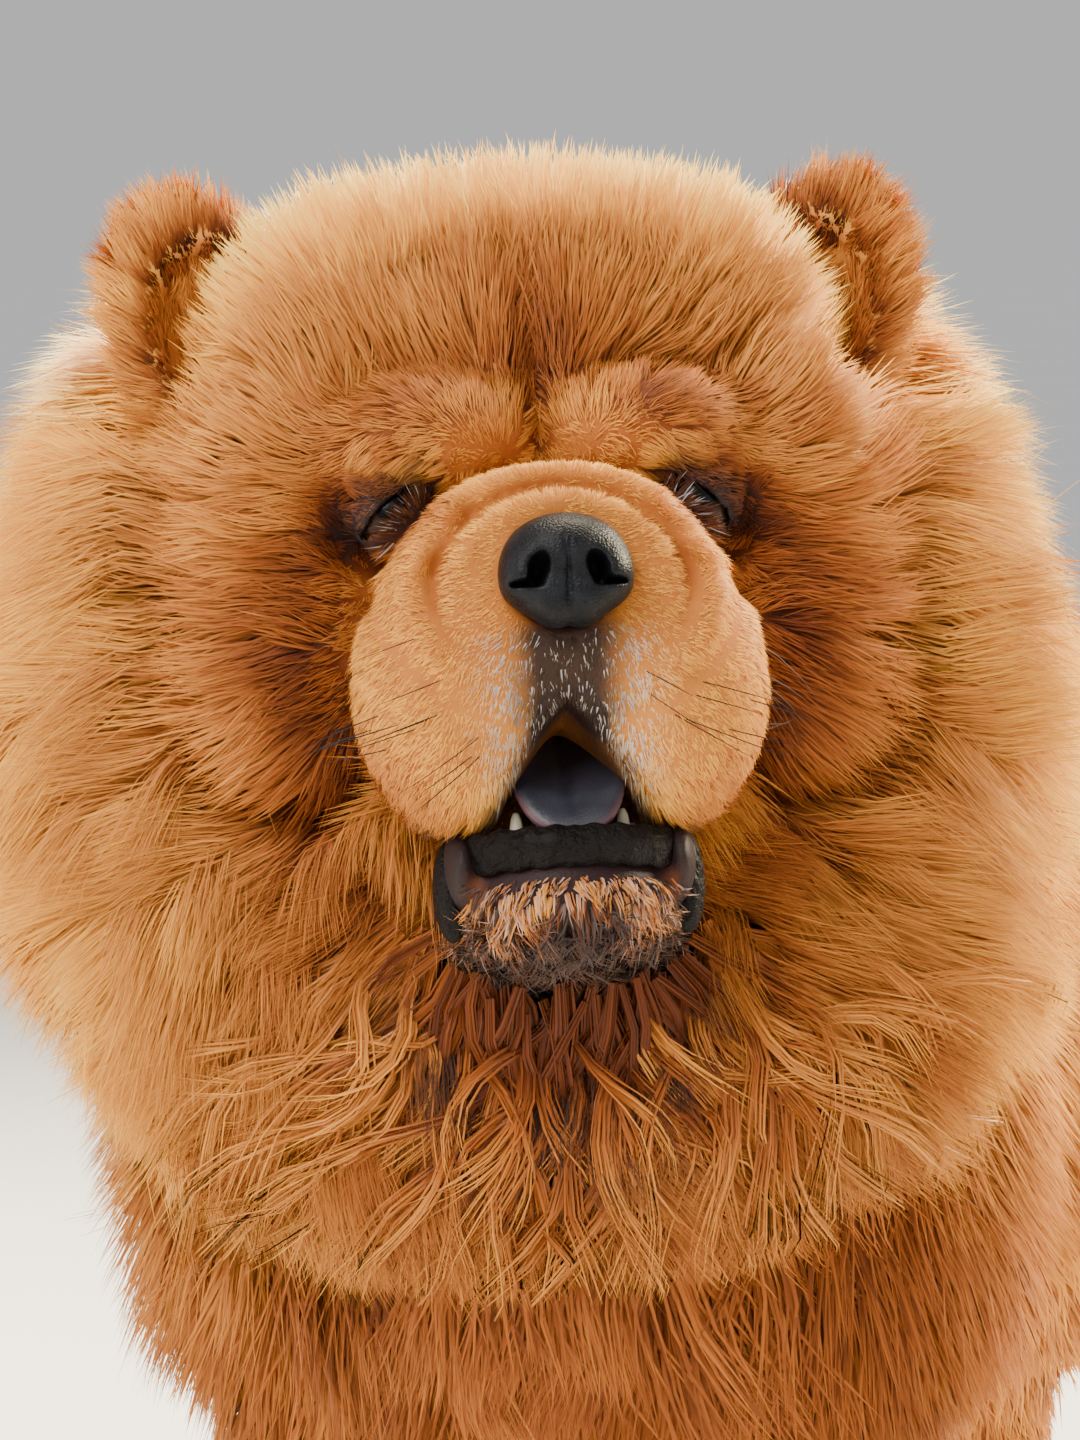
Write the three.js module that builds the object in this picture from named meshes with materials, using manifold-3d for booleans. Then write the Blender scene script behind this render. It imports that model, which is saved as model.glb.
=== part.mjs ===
// Chow chow in full coat, life-size and still. It stands on four feet, faces -Y with its head turned
// to its left (+X) and raised, pants with the tongue showing, and carries its tail over its back.
// Units are millimetres, +Z is up. Sizes marked "coat" run from the skin to the tips of the hair.
import * as THREE from "three";
import { mergeVertices } from "three/addons/utils/BufferGeometryUtils.js";
import Module from "manifold-3d";

const wasm = await Module();
wasm.setup();

// Driving sizes
const GAP = 0.35; // kept between touching pieces
const BODY_COAT = 62;
const RUFF_COAT = 108;
const THIGH_COAT = 60;
const TAIL_COAT = 82;
const CORE_SHARE = 0.5; // how much of the coat's depth the smooth core fills, under the locks
const NOSE_AT = [54, -376, 567]; // middle of the nose's front
const HEAD_TURN = 18; // degrees, to the dog's left
const HEAD_LIFT = 14; // degrees, nose up
const HEAD_ROLL = 2; // degrees, left ear up
const EYE_APART = 108;
const EYE_RADIUS = 12.5;
const NOSE_WIDTH = 44;
const NOSE_HEIGHT = 39;
const EAR_APART = 216;
const MOUTH_OPEN = 44; // from the lip's peak to the lower lip
const LEG_APART = 178;
const FRONT_FEET_Y = -138;
const HIND_FEET_Y = 236;
const PAW_WIDTH = 86;
const PAW_LENGTH = 104;
const PAW_HEIGHT = 56;

const COLOURS = {
  coat: [0xb8652c, 0.9],
  muzzle: [0xd9a468, 0.9],
  nose: [0x1d1e22, 0.35],
  tongue: [0x262a38, 0.35],
  lip: [0x16151a, 0.4],
  eye: [0x120b08, 0.1],
};

const vec = (x, y, z) => new THREE.Vector3(x, y, z);
const mix = THREE.MathUtils.lerp;

// Distances: below 0 inside, 0 on the surface.
function egg(p, [cx, cy, cz], [rx, ry, rz]) {
  const [x, y, z] = [(p.x - cx) / rx, (p.y - cy) / ry, (p.z - cz) / rz];
  const near = Math.hypot(x, y, z);
  const slope = Math.hypot(x / rx, y / ry, z / rz);
  return slope < 1e-9 ? -Math.min(rx, ry, rz) : (near * (near - 1)) / slope;
}

function join(k, ...distances) {
  return distances.reduce((a, b) => {
    const h = Math.max(k - Math.abs(a - b), 0) / k;
    return Math.min(a, b) - (h * h * k) / 4;
  });
}

function carve(k, from, cutter) {
  return -join(k, -from, cutter);
}

const grown = (radii, by) => radii.map((r) => r + by);
const bothSides = (p) => vec(Math.abs(p.x), p.y, p.z);

// A closed skin where shape is 0, as seen from a centre inside it.
// Its corners crowd to the front as crowd goes from 0 towards 1.
function skinOf(shape, centre, detail, { stretch = [1, 1, 1], reach = 460, crowd = 0 } = {}) {
  const ball = new THREE.IcosahedronGeometry(1, detail);
  ball.deleteAttribute("normal");
  ball.deleteAttribute("uv");
  const skin = mergeVertices(ball, 1e-5);
  const at = skin.attributes.position;
  const from = vec(...centre);
  for (let i = 0; i < at.count; i++) {
    const way = vec(at.getX(i), at.getY(i) - crowd, at.getZ(i)).multiply(vec(...stretch)).normalize();
    let [near, far] = [0, reach];
    for (let step = 0; step < 90 && far > 0; step++) {
      const d = shape(from.clone().addScaledVector(way, far));
      if (d < 0.02) break;
      near = far;
      far -= Math.max(d * 0.7, 0.05);
    }
    const point = from.clone().addScaledVector(way, far);
    at.setXYZ(i, point.x, point.y, point.z);
  }
  return skin;
}

// Turns a closed skin's faces outwards.
function facingOut(skin) {
  const at = skin.attributes.position;
  const corners = [...skin.index.array];
  const [a, b, c] = [vec(), vec(), vec()];
  let volume = 0;
  for (let i = 0; i < corners.length; i += 3) {
    a.fromBufferAttribute(at, corners[i]);
    b.fromBufferAttribute(at, corners[i + 1]);
    c.fromBufferAttribute(at, corners[i + 2]);
    volume += a.dot(b.cross(c));
  }
  return volume < 0 ? skin.setIndex(corners.reverse()) : skin;
}

// A closed skin over rings of points, each with as many points; a ring of one point is a tip.
function loft(rings) {
  const points = [];
  const faces = [];
  const starts = rings.map((ring) => {
    points.push(...ring);
    return points.length - ring.length;
  });
  const cap = (start, count, flip) => {
    for (let i = 1; i + 1 < count; i++) {
      faces.push(flip ? [start, start + i + 1, start + i] : [start, start + i, start + i + 1]);
    }
  };
  cap(starts[0], rings[0].length, true);
  for (let r = 0; r + 1 < rings.length; r++) {
    const [a, b, n, m] = [starts[r], starts[r + 1], rings[r].length, rings[r + 1].length];
    for (let i = 0; i < Math.max(n, m); i++) {
      const j = (i + 1) % Math.max(n, m);
      if (m === 1) faces.push([a + i, a + j, b]);
      else if (n === 1) faces.push([a, b + j, b + i]);
      else faces.push([a + i, a + j, b + j], [a + i, b + j, b + i]);
    }
  }
  cap(starts.at(-1), rings.at(-1).length, false);
  const skin = new THREE.BufferGeometry().setFromPoints(points);
  return facingOut(skin.setIndex(faces.flat()));
}

// An upright or lengthwise oval ring round a centre, across two directions.
function oval(centre, across, up, count, turn = 0) {
  return Array.from({ length: count }, (_, i) => {
    const a = ((i + turn) / count) * Math.PI * 2;
    return centre.clone().addScaledVector(across, Math.cos(a)).addScaledVector(up, Math.sin(a));
  });
}

// Solids
function solid(geometry) {
  const skin = geometry.clone();
  for (const name of ["normal", "uv"]) skin.deleteAttribute(name);
  const merged = facingOut(mergeVertices(skin, 1e-4));
  const vertProperties = new Float32Array(merged.attributes.position.array);
  const triVerts = new Uint32Array(merged.index.array);
  return new wasm.Manifold(new wasm.Mesh({ numProp: 3, vertProperties, triVerts }));
}

// The same skin moved outwards, so that what it cuts meets it face to face.
function swollen(geometry, by = GAP * 1.3) {
  const skin = geometry.clone();
  skin.computeVertexNormals();
  const [at, normal] = [skin.attributes.position, skin.attributes.normal];
  for (let i = 0; i < at.count; i++) {
    at.setXYZ(
      i,
      at.getX(i) + normal.getX(i) * by,
      at.getY(i) + normal.getY(i) * by,
      at.getZ(i) + normal.getZ(i) * by,
    );
  }
  return skin;
}

function largest(body) {
  return body.decompose().reduce((a, b) => (b.volume() > a.volume() ? b : a));
}

const together = (bodies) => bodies.reduce((a, b) => a.add(b));
const without = (body, cutters) => cutters.reduce((rest, cutter) => rest.subtract(cutter), body);

function geometryOf(body) {
  const mesh = body.getMesh();
  return new THREE.BufferGeometry()
    .setAttribute("position", new THREE.BufferAttribute(new Float32Array(mesh.vertProperties), 3))
    .setIndex(new THREE.BufferAttribute(new Uint32Array(mesh.triVerts), 1));
}

// The head's own frame: the middle of the nose's front is its origin, and the muzzle points to -Y.
const headFrame = new THREE.Matrix4().compose(
  vec(...NOSE_AT),
  new THREE.Quaternion().setFromEuler(
    new THREE.Euler(
      THREE.MathUtils.degToRad(-HEAD_LIFT),
      THREE.MathUtils.degToRad(-HEAD_ROLL),
      THREE.MathUtils.degToRad(HEAD_TURN),
      "ZXY",
    ),
  ),
  vec(1, 1, 1),
);
const outOfHead = headFrame.clone().invert();
const inHead = (geometry) => solid(geometry.clone().applyMatrix4(headFrame));

// Head
const SKULL = { centre: [0, 150, 66], radii: [124, 96, 118] };
const EYE_AT = [EYE_APART / 2, 74, 33];

function headShape(q, by = 0) {
  const p = bothSides(q);
  const skull = egg(p, SKULL.centre, grown(SKULL.radii, by));
  const cheek = egg(p, [78, 122, -8], grown([58, 62, 76], by));
  const crown = egg(p, [62, 152, 112], grown([58, 74, 60], by));
  const brow = egg(p, [36, 88, 60], grown([36, 30, 27], by));
  const temple = egg(p, [84, 104, 52], grown([40, 44, 48], by));
  const muzzle = egg(p, [0, 58, -10], grown([60, 52, 46], by));
  const bridge = egg(p, [0, 56, 20], grown([50, 44, 26], by));
  const lip = egg(p, [37, 48, -36], grown([38, 38, 50], by));
  const padding = join(22, muzzle, bridge, lip);
  const face = join(30, skull, crown, cheek, temple);
  const socket = egg(p, [EYE_AT[0] + 4, EYE_AT[1] - 14, EYE_AT[2] + 2], [22, 16, 10]);
  const crease = egg(p, [0, 58, 80], [9, 14, 38]);
  const browed = carve(10, join(14, face, brow), crease);
  return carve(8, join(9, browed, padding), socket);
}

function eyeball(side, by = 0) {
  const ball = new THREE.IcosahedronGeometry(EYE_RADIUS + by, 2);
  return ball.translate(side * EYE_AT[0], EYE_AT[1], EYE_AT[2]);
}

// The slit between the lids, falling towards the outer corner.
function eyeSlit(side) {
  const slit = new THREE.IcosahedronGeometry(1, 2).scale(15, 26, 5.6);
  slit.rotateY(side * 0.5);
  return slit.translate(side * EYE_AT[0], EYE_AT[1] - 14, EYE_AT[2]);
}

// A raised rim above or below the slit.
function lid(side, upper) {
  const rings = [];
  for (let i = 0; i <= 5; i++) {
    const t = i / 2.5 - 1;
    const lift = (upper ? 1 : -1) * 6.4 * (1 - t * t);
    const width = 0.8 + 2.4 * (1 - t * t);
    const centre = vec(t * 17, -15 + 4 * t * t, lift);
    rings.push(oval(centre, vec(0, width + 1.5, 0), vec(0, 0, width), 5));
  }
  const rim = loft(rings);
  rim.rotateY(side * 0.5);
  return rim.translate(side * EYE_AT[0], EYE_AT[1] + 1, EYE_AT[2]);
}

// The open mouth: a peaked gap between the hanging lips, running back over the tongue.
const MOUTH_TOP = -44;
const LIP_LINE = -84;
function mouthGap() {
  const outline = (y, half, top, low) => [
    vec(0, y, top),
    vec(half * 0.55, y, mix(top, low, 0.42)),
    vec(half, y, low),
    vec(half * 1.05, y, low - 60),
    vec(-half * 1.05, y, low - 60),
    vec(-half, y, low),
    vec(-half * 0.55, y, mix(top, low, 0.42)),
  ];
  return loft([
    outline(-20, 25, MOUTH_TOP + 2, LIP_LINE + 6),
    outline(20, 24, MOUTH_TOP, LIP_LINE + 6),
    outline(60, 27, MOUTH_TOP - 4, LIP_LINE + 4),
    outline(104, 22, MOUTH_TOP - 14, LIP_LINE),
  ]);
}

// The room that the lower jaw moves in, under and between the hanging lips.
function jawRoom() {
  const station = (y, half, top, low) =>
    oval(vec(0, y, (top + low) / 2), vec(half, 0, 0), vec(0, 0, (top - low) / 2), 14, 0.5);
  return loft([
    station(14, 43, -80, -190),
    station(40, 50, -76, -190),
    station(80, 52, -74, -190),
    station(118, 50, -76, -190),
  ]);
}

// Ears
function earShape(q, side, by = 0) {
  const p = q.clone().sub(vec((side * EAR_APART) / 2, 156, 112));
  p.x *= side;
  const lean = (p.z + 20) * 0.16;
  const flap = egg(vec(p.x - lean, p.y + p.z * 0.12, p.z), [0, 0, 8], grown([35, 16, 48], by));
  const base = egg(p, [-10, 6, -14], grown([40, 28, 34], by));
  return join(18, flap, base);
}

function earCup(side) {
  const cup = new THREE.IcosahedronGeometry(1, 2).scale(19, 14, 31);
  cup.rotateY(side * 0.16);
  return cup.translate(side * (EAR_APART / 2 + 4), 137, 118);
}

// Nose leather
function noseShape(q) {
  const p = bothSides(q);
  const pad = egg(p, [0, 12, 4], [NOSE_WIDTH / 2 - 3, 15, NOSE_HEIGHT / 2 - 3]);
  const wing = egg(p, [NOSE_WIDTH / 2 - 9, 11, 0], [9.5, 12, 10]);
  const foot = egg(p, [0, 12, -12], [9, 11, 12]);
  const groove = egg(p, [0, -3, -12], [1.6, 5, 14]);
  return carve(1.5, join(5, pad, wing, foot), groove);
}

function nostril(side) {
  const rings = [0, 1, 2, 3, 4].map((i) => {
    const turn = mix(-0.4, 1.5, i / 4);
    const width = [1.6, 3.4, 3.6, 3, 1.2][i];
    const centre = vec(side * (6.5 + 9 * (1 - Math.cos(turn))), 2 + 1.5 * i, 3 - 9 * Math.sin(turn));
    return oval(centre, vec(side * width, 0, 0), vec(0, 9, width * 0.9), 5);
  });
  return loft(rings);
}

// Lower jaw with its lips and the small teeth that show beside the tongue
function jawShape(q) {
  const p = bothSides(q);
  const chin = egg(p, [0, 64, -108], [38, 40, 22]);
  const body = egg(p, [0, 92, -106], [45, 46, 26]);
  const lip = egg(p, [40, 72, -100], [7, 30, 19]);
  const trough = egg(p, [0, 72, -78], [27, 50, 13]);
  return carve(4, join(8, chin, body, lip), trough);
}

function tooth(x, y, height, radius) {
  const ring = (z, r) => oval(vec(x, y, z), vec(r, 0, 0), vec(0, r, 0), 5);
  return loft([ring(-98, radius * 0.8), ring(-90, radius), ring(-84, radius * 0.9), [vec(x, y, -90 + height)]]);
}

const TEETH = [-1, 1].flatMap((side) => [
  tooth(side * 19, 42, 11, 2.8),
  tooth(side * 23, 47, 8, 2.4),
  tooth(side * 25, 54, 7, 2.4),
]);

// Tongue: wide and cupped, with a groove down its middle
function tongue(by = 0) {
  const stations = [
    [100 + by, -58, 15, 6],
    [80, -56, 19, 6],
    [58, -62, 21, 5],
    [42, -71, 20.5, 4.5],
    [30, -82, 17, 4],
    [25 - by, -90, 9, 3],
  ];
  const rings = stations.map(([y, z, width, thick]) => {
    const half = width + 2 * by;
    const [top, low] = [z + thick * 0.7 + by, z - thick * 0.6 - by];
    return [
      vec(-half, y, top),
      vec(-half * 0.55, y, top - thick * 0.2),
      vec(0, y, top - thick * 0.6),
      vec(half * 0.55, y, top - thick * 0.2),
      vec(half, y, top),
      vec(half * 0.6 + by, y, low),
      vec(0, y, low - thick * 0.2),
      vec(-half * 0.6 - by, y, low),
    ];
  });
  return loft(rings);
}

// Body
const torsoParts = (by) => [
  [[0, -62, 402], grown([102, 168, 128], by)],
  [[0, 108, 416], grown([90, 152, 104], by)],
  [[0, 214, 420], grown([94, 92, 100], by)],
];
function torsoShape(p, share = CORE_SHARE, by = 0) {
  return join(50, ...torsoParts(BODY_COAT * share + by).map(([c, r]) => egg(p, c, r)));
}

function ruffShape(p, share = CORE_SHARE, by = 0) {
  const coat = RUFF_COAT * share + by;
  const radii = [108 + coat, 50 + coat * 0.62, 92 + coat * 0.96];
  const q = p.clone().applyMatrix4(outOfHead);
  const mane = egg(q, [0, 200, -40], radii);
  const collar = egg(bothSides(q), [62, 206, 42], grown([64, 36, 60], coat * 0.74));
  const crest = egg(p, [4, -128, 540], grown([70, 50, 30], coat * 0.6));
  const bib = egg(p, [8, -196, 412], grown([94, 40, 26], coat * 0.8));
  return join(40, mane, collar, crest, bib);
}

function thighShape(p, side, share = CORE_SHARE, by = 0) {
  const coat = THIGH_COAT * share + by;
  const thigh = egg(p, [side * 92, 226, 318], grown([42, 62, 98], coat * 0.8));
  const breech = egg(p, [side * 84, 272, 270], grown([34, 40, 70], coat * 0.8));
  return join(40, thigh, breech);
}

function column(side, stations) {
  const rings = stations.map(([z, y, half, deep, x = LEG_APART / 2]) =>
    oval(vec(side * x, y, z), vec(half, 0, 0), vec(0, deep, 0), 10),
  );
  return loft(rings);
}

const FRONT_LEG = [
  [24, -140, 34, 38],
  [50, -134, 37, 41],
  [88, -128, 39, 43],
  [140, -126, 42, 48],
  [200, -124, 52, 60, 92],
  [262, -122, 66, 78, 96],
  [330, -120, 74, 88, 100],
  [400, -118, 68, 80, 98],
  [452, -116, 46, 58, 86],
  [480, -114, 18, 26, 80],
];
const HIND_LEG = [
  [24, 244, 35, 40],
  [54, 254, 37, 42],
  [92, 266, 39, 44],
  [140, 272, 43, 52],
  [190, 266, 52, 68, 88],
  [240, 250, 60, 80, 90],
];

// The foreleg's surface above the wrist, for its feathering
function frontLegShape(p, side) {
  const next = Math.max(1, FRONT_LEG.findIndex(([z]) => z > p.z));
  const [low, high] = [FRONT_LEG[next - 1], FRONT_LEG[next]];
  const t = THREE.MathUtils.clamp((p.z - low[0]) / (high[0] - low[0]), 0, 1);
  const [y, half, deep, x] = [1, 2, 3, 4].map((k) => mix(low[k] ?? LEG_APART / 2, high[k] ?? LEG_APART / 2, t));
  const reach = Math.hypot((p.x - side * x) / half, (p.y - y) / deep);
  return (reach - 1) * Math.min(half, deep);
}

function pawShape(q, [cx, cy], by = 0) {
  const p = vec(Math.abs(q.x - cx), q.y - cy, q.z);
  const pad = egg(p, [0, 6, 20], grown([PAW_WIDTH / 2 - 4, PAW_LENGTH / 2 - 10, 34], by));
  const inner = egg(p, [13, -28, 16], grown([14, 24, 26], by));
  const outer = egg(p, [32, -16, 15], grown([13, 26, 24], by));
  return join(7, pad, inner, outer);
}

function claw(x, y) {
  const ring = (dy, z, r) => oval(vec(x, y + dy, z), vec(r, 0, 0), vec(0, 0, r * 1.2), 5);
  return loft([ring(12, 15, 4), ring(-1, 11, 3.4), [vec(x, y - 6, 4)]]);
}

// Tail: rises from the croup and curls forward over the back
const TAIL_PATH = new THREE.CatmullRomCurve3(
  [
    vec(0, 258, 456),
    vec(-6, 302, 492),
    vec(-18, 312, 540),
    vec(-36, 274, 578),
    vec(-54, 214, 586),
    vec(-68, 152, 578),
    vec(-76, 98, 560),
  ],
);
function tailThickness(t, share) {
  const fluff = TAIL_COAT * share * Math.min(1, 0.25 + 2.2 * t) * Math.sqrt(Math.max(0.02, 1 - t ** 4));
  return mix(20, 8, t) + fluff * 0.62;
}
function tailRings(share, from, to) {
  const count = 7;
  return Array.from({ length: count + 1 }, (_, i) => {
    const t = mix(from, to, i / count);
    const centre = TAIL_PATH.getPointAt(t);
    const along = TAIL_PATH.getTangentAt(t);
    const across = vec(1, 0, 0);
    const up = along.clone().cross(across).normalize();
    const thick = tailThickness(t, share);
    return oval(centre, across.multiplyScalar(thick * 1.15), up.multiplyScalar(thick), 10);
  });
}

// Locks of the long coat
let seed = 7;
function chance(from, to) {
  seed = (seed * 16807) % 2147483647;
  return mix(from, to, seed / 2147483647);
}

function slopeOf(shape, p) {
  const step = 0.5;
  const along = (x, y, z) => shape(p.clone().add(vec(x, y, z))) - shape(p.clone().sub(vec(x, y, z)));
  return vec(along(step, 0, 0), along(0, step, 0), along(0, 0, step)).normalize();
}

// The point at a height over the shape, straight out from p.
function settle(shape, p, height) {
  const point = p.clone();
  for (let i = 0; i < 3; i++) {
    point.addScaledVector(slopeOf(shape, point), height - shape(point));
  }
  return point;
}

const SINK = 9; // how deep a lock's root lies in the core
const LOCK_RINGS = [
  [0, 0.6, 1],
  [0.34, 1, 1],
  [0.66, 0.84, 0.8],
  [0.86, 0.46, 0.6],
];

// A flat tapered lock over a shape: it leaves steeply, bends over and ends along the lie.
function lock({ shape, root, lie, length, width, height, thick = 8 }, by = 0) {
  const out = slopeOf(shape, root);
  const way = lie.clone().addScaledVector(out, -lie.dot(out)).normalize();
  const start = root.clone().addScaledVector(out, -SINK);
  const bend = settle(shape, root.clone().addScaledVector(way, length * 0.4), height * 0.95);
  const tip = settle(shape, root.clone().addScaledVector(way, length), height);
  const path = new THREE.QuadraticBezierCurve3(start, bend, tip);
  const across = way.clone().cross(out).normalize();
  const rings = LOCK_RINGS.map(([t, wide, deep]) => {
    const centre = path.getPoint(t);
    const up = path.getTangent(t).cross(across).negate().normalize();
    const half = (width * wide) / 2 + 2 * by;
    return [
      centre.clone().addScaledVector(across, half).addScaledVector(up, -by),
      centre.clone().addScaledVector(up, thick * deep + by),
      centre.clone().addScaledVector(across, -half).addScaledVector(up, -by),
    ];
  });
  return solid(loft([...rings, [tip]]));
}

// The mane's locks spread from the face in rows, outwards and back, and hang at the throat.
function ruffLocks() {
  const shape = (p) => ruffShape(p);
  const middle = vec(0, 190, -40);
  const locks = [];
  for (const [row, turn] of [48, 70, 92, 116].entries()) {
    const polar = THREE.MathUtils.degToRad(turn);
    const count = Math.round(19 * Math.sin(polar) + 1);
    for (let i = 0; i < count; i++) {
      const round = ((i + (row % 2) / 2 + chance(-0.12, 0.12)) / count) * Math.PI * 2;
      const ray = vec(
        Math.sin(polar) * Math.sin(round),
        -Math.cos(polar),
        -Math.sin(polar) * Math.cos(round),
      );
      const from = middle.clone().applyMatrix4(headFrame);
      const way = ray.clone().transformDirection(headFrame);
      const root = surfacePoint(shape, from, way);
      const spread = vec(ray.x, 0.34, ray.z).transformDirection(headFrame).add(vec(0, 0, -0.3));
      const length = chance(92, 112);
      locks.push({ shape, root, lie: spread, length, width: chance(58, 70), height: RUFF_COAT * 0.48 });
    }
  }
  return locks;
}

function surfacePoint(shape, from, way, reach = 420) {
  let far = reach;
  for (let step = 0; step < 90; step++) {
    const d = shape(from.clone().addScaledVector(way, far));
    if (d < 0.05) break;
    far -= d * 0.7;
  }
  return from.clone().addScaledVector(way, far);
}

// The body's locks run back along the spine and down over the ribs.
function torsoLocks() {
  const shape = (p) => torsoShape(p);
  const locks = [];
  for (let row = 0; row < 6; row++) {
    const y = -40 + row * 66;
    for (let i = 0; i < 8; i++) {
      const round = ((i + (row % 2) / 2 - 3.75) / 8) * 2 * 2.7 + chance(-0.06, 0.06);
      const way = vec(Math.sin(round), 0.02, Math.cos(round)).normalize();
      const root = surfacePoint(shape, vec(0, y, 405), way);
      const lie = vec(Math.sin(round) * 0.1, 1, -0.5 * Math.abs(Math.sin(round / 2)) - 0.08);
      const length = chance(90, 106);
      locks.push({ shape, root, lie, length, width: chance(62, 74), height: BODY_COAT * 0.46 });
    }
  }
  return locks;
}

// Breeches: from the back of the thigh, down and back.
function thighLocks(side) {
  const shape = (p) => thighShape(p, side);
  const locks = [];
  for (let row = 0; row < 3; row++) {
    for (let i = 0; i < 4; i++) {
      const round = mix(-0.5, 2.4, (i + (row % 2) / 2) / 3.5);
      const way = vec(side * Math.cos(round - 0.35), Math.sin(round - 0.35), 0.5 - row * 0.52).normalize();
      const root = surfacePoint(shape, vec(side * 90, 240, 300), way);
      const lie = vec(0, 0.42, -1);
      locks.push({ shape, root, lie, length: chance(84, 98), width: chance(50, 60), height: 26 });
    }
  }
  return locks;
}

// Feathering down the back of the foreleg
function legLocks(side) {
  const shape = (p) => frontLegShape(p, side);
  const locks = [];
  for (let row = 0; row < 3; row++) {
    for (let i = 0; i < 3; i++) {
      const round = mix(0.15, 2.3, (i + (row % 2) / 2) / 2.5);
      const z = 330 - row * 62;
      const way = vec(side * Math.cos(round), Math.sin(round), 0);
      const root = surfacePoint(shape, vec((side * LEG_APART) / 2, -122, z), way, 160);
      const lie = vec(0, 0.3, -1);
      locks.push({ shape, root, lie, length: chance(66, 78), width: chance(40, 48), height: 17 });
    }
  }
  return locks;
}

// The plume fans out to both sides of the tail and on towards its tip.
function tailShape(p) {
  let near = Infinity;
  for (let i = 0; i <= 40; i++) {
    const t = i / 40;
    near = Math.min(near, p.distanceTo(TAIL_PATH.getPointAt(t)) - tailThickness(t, CORE_SHARE));
  }
  return near;
}
function tailLocks() {
  const locks = [];
  for (let row = 0; row < 5; row++) {
    const t = mix(0.12, 0.84, row / 4);
    const centre = TAIL_PATH.getPointAt(t);
    const along = TAIL_PATH.getTangentAt(t);
    const over = along.clone().cross(vec(1, 0, 0)).normalize();
    const count = row === 4 ? 3 : 5;
    for (let i = 0; i < count; i++) {
      const round = mix(-2, 2, (i + 0.25 * (row % 2)) / (count - 0.75));
      const way = over.clone().multiplyScalar(Math.cos(round)).addScaledVector(vec(1, 0, 0), Math.sin(round));
      const root = surfacePoint(tailShape, centre, way.normalize(), 120);
      const lie = along.clone().addScaledVector(way, 0.7);
      locks.push({ shape: tailShape, root, lie, length: chance(92, 108), width: chance(56, 64), height: 34, t });
    }
  }
  return locks;
}

// Each node in turn keeps clear of those made before it.
const nodes = new Map();
const guards = [];
function add(name, body, guard, finish) {
  nodes.set(name, { body: largest(without(body, guards)), finish });
  guards.push(guard);
}

function touches(body, name) {
  const mine = body.boundingBox();
  for (const [other, node] of nodes) {
    if (other === name) continue;
    const box = node.body.boundingBox();
    if ([0, 1, 2].some((k) => mine.max[k] < box.min[k] || mine.min[k] > box.max[k])) continue;
    if (body.intersect(node.body).volume() > 0) return true;
  }
  return false;
}

// Joins locks to a node; one that would touch another node is made shorter, or left out.
function cover(name, locks) {
  const node = nodes.get(name);
  const grown = [];
  for (const one of locks) {
    for (const share of [1, 0.8, 0.6]) {
      const shorter = { ...one, length: one.length * share, height: one.height * share };
      if (touches(lock(shorter, GAP * 1.5), name)) continue;
      grown.push(lock(shorter));
      break;
    }
  }
  node.body = largest(together([node.body, ...grown]));
}

const headSkin = skinOf((p) => headShape(p), [0, 112, 8], 6, { crowd: 0.56 });
const gaps = [mouthGap(), jawRoom()].map(inHead);
const eyeRooms = [-1, 1].map((side) => inHead(eyeball(side, GAP)));
const eyeSlits = [-1, 1].map((side) => inHead(eyeSlit(side)));
for (const side of [-1, 1]) {
  add(`eye_${side > 0 ? "left" : "right"}`, inHead(eyeball(side)), inHead(eyeball(side, GAP)), "eye");
}
const noseSkin = skinOf(noseShape, [0, 14, 0], 3, { reach: 60, crowd: 0.3 });
const nostrils = [-1, 1].map(nostril).map(inHead);
add("nose", without(inHead(noseSkin), nostrils), inHead(swollen(noseSkin)), "nose");
add("tongue", inHead(tongue()), inHead(tongue(GAP * 1.5)), "tongue");
const jawSkin = skinOf(jawShape, [0, 84, -112], 3, { reach: 140, crowd: 0.2 });
const jaw = together([jawSkin, ...TEETH].map(inHead));
const jawGuard = together([swollen(jawSkin), ...TEETH.map((one) => swollen(one, GAP))].map(inHead));
add("jaw", jaw, jawGuard, "lip");
const lids = [-1, 1].flatMap((side) => [lid(side, true), lid(side, false)]).map(inHead);
const face = together([without(inHead(headSkin), [...gaps, ...eyeSlits]), ...lids]);
add("head", without(face, eyeRooms), inHead(swollen(headSkin)), "muzzle");
for (const side of [-1, 1]) {
  const centre = [(side * EAR_APART) / 2, 156, 112];
  const ear = skinOf((p) => earShape(p, side), centre, 3);
  const cupped = inHead(ear).subtract(inHead(earCup(side)));
  add(`ear_${side > 0 ? "left" : "right"}`, cupped, inHead(swollen(ear)), "coat");
}

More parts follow.
